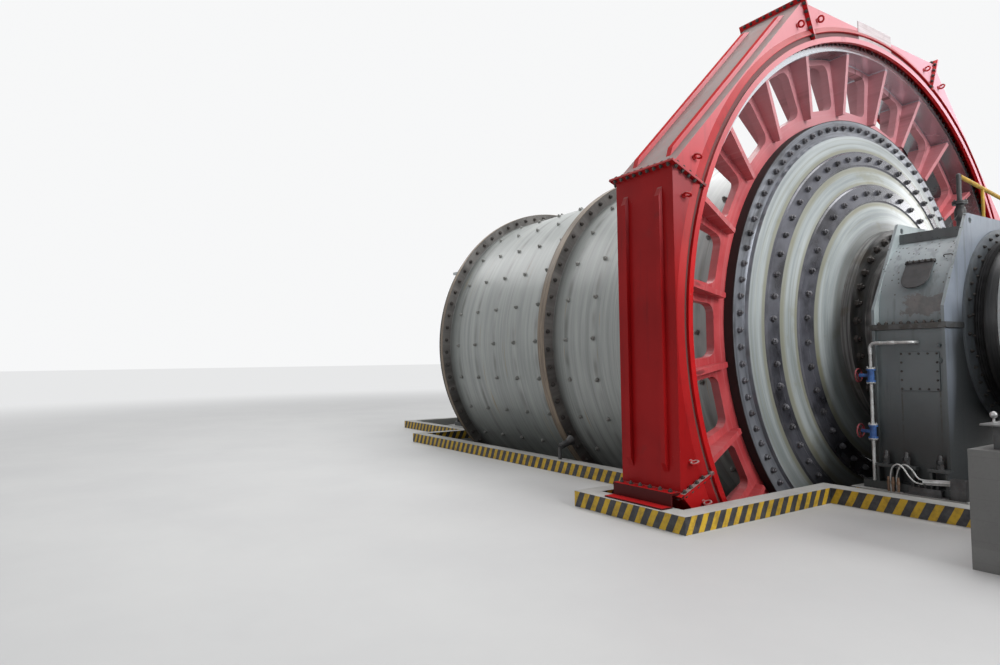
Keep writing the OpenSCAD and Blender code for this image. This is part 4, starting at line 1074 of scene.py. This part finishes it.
# Pinion drive
PINION_R = (HOUSE_HIGH[2] - HOUSE_LOW[2]) / 2
PINION_Z = (HOUSE_HIGH[2] + HOUSE_LOW[2]) / 2
PINION_Y = HOUSE_HIGH[1] - PINION_R
low, high = span("pinion_bearings")
BEARING_BLOCK = 0.42
BEARING_FACES = ((low[0], -1), (low[0] + BEARING_BLOCK, 1), (high[0] - BEARING_BLOCK, -1), (high[0], 1))


def pinion_details():
    """A joint flange along the outer side of the pinion housing at shaft height, and two lugs on top."""
    flange = bar(
        (HOUSE_LOW[0] - 0.002, HOUSE_HIGH[1] - 0.004, PINION_Z - 0.03),
        (HOUSE_HIGH[0] + 0.002, HOUSE_HIGH[1] + 0.05, PINION_Z + 0.03),
    )
    lugs = [
        copies(lifting_eye(), (x, PINION_Y, HOUSE_HIGH[2] + 0.02), [[(1, 0, 0), (0, 0, 1), (0, -1, 0)]])
        for x in (HOUSE_LOW[0] + 0.12, HOUSE_HIGH[0] - 0.12)
    ]
    return joined(flange, *lugs)


def pinion_covers():
    """Ring covers on both faces of the two pinion bearings: a stepped ring about the shaft."""
    ring = circle(48)
    steps = ((0.0, 0.19), (0.0, 0.33), (0.02, 0.33), (0.034, 0.29), (0.034, 0.19))
    return joined(*[
        loft([
            np.stack([np.full(48, x + sign * off), PINION_Y + r * ring[:, 0], PINION_Z + r * ring[:, 1]], -1)
            for off, r in steps
        ], True)
        for x, sign in BEARING_FACES
    ])


piece("pinion_housing_flange", pinion_details(), "guard_paint", "ridge_paint")
x = np.linspace(HOUSE_LOW[0] + 0.06, HOUSE_HIGH[0] - 0.06, 8)
places = np.stack([x, np.full(8, HOUSE_HIGH[1] + 0.028), np.full(8, PINION_Z + 0.03)], -1)
bolts("pinion_housing_bolts", places, (0, 0, 1.0), 0.012)
piece("pinion_bearing_covers", pinion_covers(), "bearing_paint")
ring = circle(12, 0.5) * 0.31
places = [
    np.stack([np.full(12, x + sign * 0.024), PINION_Y + ring[:, 0], PINION_Z + ring[:, 1]], -1)
    for x, sign in BEARING_FACES
]
normals = [np.tile((float(sign), 0.0, 0.0), (12, 1)) for _, sign in BEARING_FACES]
bolts("pinion_cover_bolts", np.concatenate(places), np.concatenate(normals), 0.010)

# Discharge hood
HOOD_R = 1.1
END_X = span("hood_end_plate")[1][0]
PORT_R = 0.46
JOINT_LEVELS = ((-0.012, 0.012), (0.013, 0.037))


def hood_hoops():
    """Three hoops over the barrel: flat bars of 40 mm from the joint on one side to that on the other."""
    a = np.linspace(-math.pi / 2, math.pi / 2, 49)
    forms = []
    for x in (HOOD_LOW[0] + 0.03, (HOOD_LOW[0] + HOOD_HIGH[0]) / 2, HOOD_HIGH[0] - 0.07):
        corners = ((x, -0.003), (x + 0.04, -0.003), (x + 0.04, 0.026), (x, 0.026))
        forms.append(loft(np.stack([on_drum(px, HOOD_R + rise, a) for px, rise in corners], 1)))
    return joined(*forms)


def hood_joint():
    """Paired bars along both sides of the barrel at axis height, and across the end plate beside its port."""
    forms = []
    for side in (-1, 1):
        for x0, x1, inner, outer in (
            (HOOD_LOW[0] + 0.02, HOOD_HIGH[0] - 0.005, HOOD_R - 0.012, HOOD_R + 0.045),
            (END_X - 0.004, END_X + 0.05, PORT_R + 0.07, HOOD_R + 0.02),
        ):
            y0, y1 = sorted((side * inner, side * outer))
            for low, high in JOINT_LEVELS:
                forms.append(bar((x0, y0, AXIS_Z + low), (x1, y1, AXIS_Z + high), 0.003))
    return joined(*forms)


def port_ring():
    """A rolled collar round the opening of the end plate: a flat ring 30 mm deep."""
    profile = ((-0.003, 0.0), (-0.003, 0.06), (0.022, 0.06), (0.030, 0.05), (0.030, 0.0))
    return lathe([(END_X + x, PORT_R + r) for x, r in profile], 96)


def neck_collar():
    """The collar where the neck enters the hood: a stepped ring on the hood's inner end."""
    profile = ((0.003, 0.917), (0.003, 1.03), (-0.02, 1.03), (-0.035, 0.98), (-0.06, 0.98), (-0.06, 0.917))
    return lathe([(HOOD_LOW[0] + x, r) for x, r in profile], 120)


piece("hood_hoops", hood_hoops(), "hood_paint")
piece("hood_joint", hood_joint(), "hood_paint")
piece("hood_port_collar", port_ring(), "hood_paint")
piece("hood_neck_collar", neck_collar(), "dark_fittings")
ring_bolts("hood_end_bolts", END_X, 1.06, 36, 0.010, 1.0, "base")
ring_bolts("hood_collar_bolts", HOOD_LOW[0] - 0.020, 1.005, 24, 0.009, -1.0, "base")
along = np.linspace(HOOD_LOW[0] + 0.10, HOOD_HIGH[0] - 0.10, 12)
x, y = np.meshgrid(along, (-HOOD_R - 0.022, HOOD_R + 0.022))
places = np.stack([x.ravel(), y.ravel(), np.full(x.size, AXIS_Z + 0.037)], -1)
bolts("hood_joint_bolts", places, (0, 0, 1.0), 0.008)

# Feed chute
FEED_BOX_X = CHUTE_LOW[0] + (CHUTE_HIGH[1] - CHUTE_LOW[1])
DOOR_X, DOOR_Z = (CHUTE_LOW[0] + FEED_BOX_X) / 2, AXIS_Z + 1.02


def chute_hoops():
    """Flat bars round the feed box at five levels, the top one at its mouth; none cuts across the spout."""
    forms, t = [], 0.045
    (x0, y0), (x1, y1) = CHUTE_LOW[:2], (FEED_BOX_X, CHUTE_HIGH[1])
    for k, z in enumerate(np.linspace(CHUTE_LOW[2] + 0.25, CHUTE_HIGH[2] - 0.06, 5)):
        high = z + (0.05 if k < 4 else 0.06)
        forms += [
            bar((x0 - t, y0 - t, z), (x1 + t, y0 + 0.002, high)),
            bar((x0 - t, y1 - 0.002, z), (x1 + t, y1 + t, high)),
            bar((x0 - t, y0 + 0.002, z), (x0 + 0.002, y1 - 0.002, high)),
        ]
        if not AXIS_Z - 0.62 < z < AXIS_Z + 0.60:
            forms.append(bar((x1 - 0.002, y0 + 0.002, z), (x1 + t, y1 - 0.002, high)))
    return joined(*forms)


def chute_door():
    """An inspection door on the near side of the feed box, with two strap hinges."""
    y = CHUTE_LOW[1]
    door = slab(rectangle(0.46, 0.52, 0.04), (DOOR_X, y + 0.001, DOOR_Z), (1, 0, 0), (0, 0, 1), 0.022)
    strap = rectangle(0.30, 0.035, 0.01)
    straps = [
        slab(strap, (DOOR_X - 0.12, y - 0.020, DOOR_Z + rise), (1, 0, 0), (0, 0, 1), 0.010, 0.002)
        for rise in (-0.16, 0.16)
    ]
    return joined(door, *straps)


piece("feed_chute_hoops", chute_hoops(), "hood_paint")
piece("feed_chute_door", chute_door(), "hood_paint")
edge = edge_places(0.40, 0.46, 3)
places = np.stack([DOOR_X + edge[:, 0], np.full(12, CHUTE_LOW[1] - 0.021), DOOR_Z + edge[:, 1]], -1)
bolts("chute_door_bolts", places, (0, -1.0, 0), 0.008)

# Side block lid
LID_UP = 0.17


def block_lid():
    """A steel lid over the side block: a plate on a frame of four upright walls, set in from the edge."""
    (x0, y0, _), (x1, y1, z) = BLOCK_LOW, BLOCK_HIGH
    a, b, high = 0.12, 0.17, z + LID_UP
    walls = joined(
        bar((x0 + a, y0 + a, z), (x1 - a, y0 + b, high)), bar((x0 + a, y1 - b, z), (x1 - a, y1 - a, high)),
        bar((x0 + a, y0 + b, z), (x0 + b, y1 - b, high)), bar((x1 - b, y0 + b, z), (x1 - a, y1 - b, high)),
    )
    outline = rectangle(x1 - x0 - 0.11, y1 - y0 - 0.11, 0.015)
    return walls, slab(outline, ((x0 + x1) / 2, (y0 + y1) / 2, high), (1, 0, 0), (0, 1, 0), 0.012, 0.003)


def lid_knob():
    """A turned hand knob: a ball of 26 mm on a waisted stem and a round foot."""
    a = np.linspace(-1.2, math.pi / 2, 10)
    ball = [(0.026 * math.cos(q), 0.062 + 0.026 * math.sin(q)) for q in a[:-1]] + [(0.001, 0.088)]
    form = turned_form([(0.028, 0.0), (0.028, 0.006), (0.010, 0.012), (0.008, 0.03)] + ball, 20)
    return upright(form, (BLOCK_LOW[0] + 0.11, BLOCK_LOW[1] + 0.17, BLOCK_HIGH[2] + LID_UP + 0.011))


walls, lid = block_lid()
piece("side_block_frame", walls, "dark_fittings")
piece("side_block_lid", lid, "dark_fittings", "lid_plate")
piece("side_block_knob", lid_knob(), "shaft_steel")


# Studio
def far_jog():
    """Where the far wall stands out round the drive, read from the vertices of its own mesh."""
    mesh = nodes["pit_wall_far"].data
    co = np.empty(len(mesh.vertices) * 3, np.float32)
    mesh.vertices.foreach_get("co", co)
    co = co.reshape(-1, 3)
    out = co[co[:, 1] > co[:, 1].max() - 0.01]
    return float(out[:, 0].min()), float(out[:, 0].max())


def studio_floor():
    """A plain floor round the pit: cells of a grid through its edges, less those over it and the block."""
    wall_t, shell_room, step_room, jog_back, jog_front = 0.2, 0.333, 0.888, 0.438, 0.297
    x0, x1 = span("pit_wall_feed_end")[0][0], span("pit_wall_discharge_end")[1][0]
    near, far = span("pit_wall_near")[0][1], span("pit_wall_far")[1][1]
    bearing = span("pit_wall_feed_end")[1][1] + wall_t
    shell = SHELL_R + shell_room
    step = -(HALF_L + step_room)
    near_low, near_high = BACK_X - jog_back, FRONT_X + jog_front
    far_low, far_high = far_jog()
    xs = {-400.0, x0, step, near_low, near_high, far_low, far_high, x1, BLOCK_LOW[0], BLOCK_HIGH[0], 400.0}
    xs = sorted(xs)
    ys = sorted({-300.0, near, BLOCK_LOW[1], -shell, -bearing, bearing, shell, far, 300.0})
    faces = []
    for i in range(len(xs) - 1):
        for j in range(len(ys) - 1):
            x, y = (xs[i] + xs[i + 1]) / 2, (ys[j] + ys[j + 1]) / 2
            low = near if near_low < x < near_high else -(shell if step < x < near_high else bearing)
            high = far if far_low < x < far_high else (shell if step < x < far_low else bearing)
            over_block = BLOCK_LOW[0] < x < BLOCK_HIGH[0] and BLOCK_LOW[1] < y < -bearing
            if not (x0 < x < x1 and low < y < high or over_block):
                a = i * len(ys) + j
                faces.append((a, a + len(ys), a + len(ys) + 1, a + 1))
    return [(x, y, FLOOR_Z) for x in xs for y in ys], faces


def floor_finish():
    """A plain pale floor, which fades to an even tone from 9 to 30 m out, where the lamps don't reach."""
    f = Finish("floor")
    f.ground(f.noise(0.7, 4.0).step(0.2, 0.8), (0.46, 0.46, 0.46), (0.50, 0.50, 0.495))
    material = f.paint(0.55 + 0.1 * f.noise(5.0, 4.0))
    far = (f.x * f.x + f.y * f.y).root().step(9.0, 30.0)
    tone = f.root.add("Emission", None, {0: (0.80, 0.805, 0.81, 1.0), 1: 1.0})
    surface = Shade(f.tree, f.shader.outputs[0])
    mix = f.root.add("MixShader", None, {0: far * seen_rays(f.root), 1: surface, 2: tone})
    f.tree.links.new(mix.socket, f.tree.nodes["Material Output"].inputs[0])
    return material


points, faces = studio_floor()
mesh = bpy.data.meshes.new("studio_floor")
mesh.from_pydata(points, [], faces)
mesh.materials.append(floor_finish())
floor = bpy.data.objects.new("studio_floor", mesh)
bpy.context.scene.collection.objects.link(floor)


def world_light():
    """Sky of plain light: brighter overhead than at the horizon, and near white where seen or mirrored."""
    world = bpy.data.worlds.new("studio")
    world.use_nodes = True
    tree = world.node_tree
    tree.nodes.clear()
    root = Shade(tree)
    sky = root.add("TexCoord").parts()[2].step(-0.2, 0.9)
    light = root.add("Background", None, {0: sky.blend((0.30, 0.31, 0.32), (0.95, 0.97, 1.0)), 1: 0.42})
    seen = root.add("Background", None, {0: (0.93, 0.935, 0.94, 1.0), 1: 1.0})
    mix = root.add("MixShader", None, {0: seen_rays(root), 1: light, 2: seen})
    out = tree.nodes.new("ShaderNodeOutputWorld")
    tree.links.new(mix.socket, out.inputs[0])
    bpy.context.scene.world = world


def lamp(name, place, target, power, size, spread=180.0):
    """A soft lamp of two sides, aimed from its place at a target; spread is the angle of its beam."""
    data = bpy.data.lights.new(name, "AREA")
    data.shape, data.size, data.size_y = "RECTANGLE", size[0], size[1]
    data.energy, data.spread = power, math.radians(spread)
    thing = bpy.data.objects.new(name, data)
    bpy.context.scene.collection.objects.link(thing)
    axes = facing(np.array(place) - np.array(target))[0].T
    thing.matrix_world = Matrix([(*r, p) for r, p in zip(axes, place)] + [(0, 0, 0, 1)])
    thing.visible_camera = False


world_light()
lamp("roof_light", (1.0, 3.0, 19.0), (1.0, 0.0, 4.0), 3200.0, (22.0, 12.0))
lamp("end_light", (26.0, -1.0, 15.0), (3.5, 0.0, 5.0), 1430.0, (10.0, 11.0), 100.0)
lamp("side_fill", (2.0, -22.0, 9.0), (1.0, 0.0, 4.0), 450.0, (16.0, 7.0))
lamp("far_light", (5.0, 23.0, 11.0), (3.4, 0.0, 5.0), 900.0, (14.0, 7.0))
lamp("feed_light", (-14.0, -6.0, 16.0), (-1.5, -1.0, 5.0), 480.0, (10.0, 6.0))


def photo_camera():
    """The camera at the photograph's place, with the turned, tilted and rolled axes of the fitted view."""
    yaw, pitch, roll = 0.99320141, 0.04293800, -0.01444516
    focal, width = 665.878, 1000
    forward = np.array([-math.sin(yaw) * math.cos(pitch), math.cos(yaw) * math.cos(pitch), math.sin(pitch)])
    right = np.array([math.cos(yaw), math.sin(yaw), 0.0])
    up = np.cross(right, forward)
    right, up = math.cos(roll) * right + math.sin(roll) * up, math.cos(roll) * up - math.sin(roll) * right
    data = bpy.data.cameras.new("photo_camera")
    data.sensor_width = 36.0
    data.lens = data.sensor_width * focal / width
    data.clip_start, data.clip_end = 0.1, 2000.0
    thing = bpy.data.objects.new("photo_camera", data)
    bpy.context.scene.collection.objects.link(thing)
    axes = np.stack([right, up, -forward], 1)
    thing.matrix_world = Matrix([(*r, p) for r, p in zip(axes, (7.877, -8.583, 4.035))] + [(0, 0, 0, 1)])
    bpy.context.scene.camera = thing


photo_camera()
bpy.context.scene.view_settings.view_transform = "Standard"
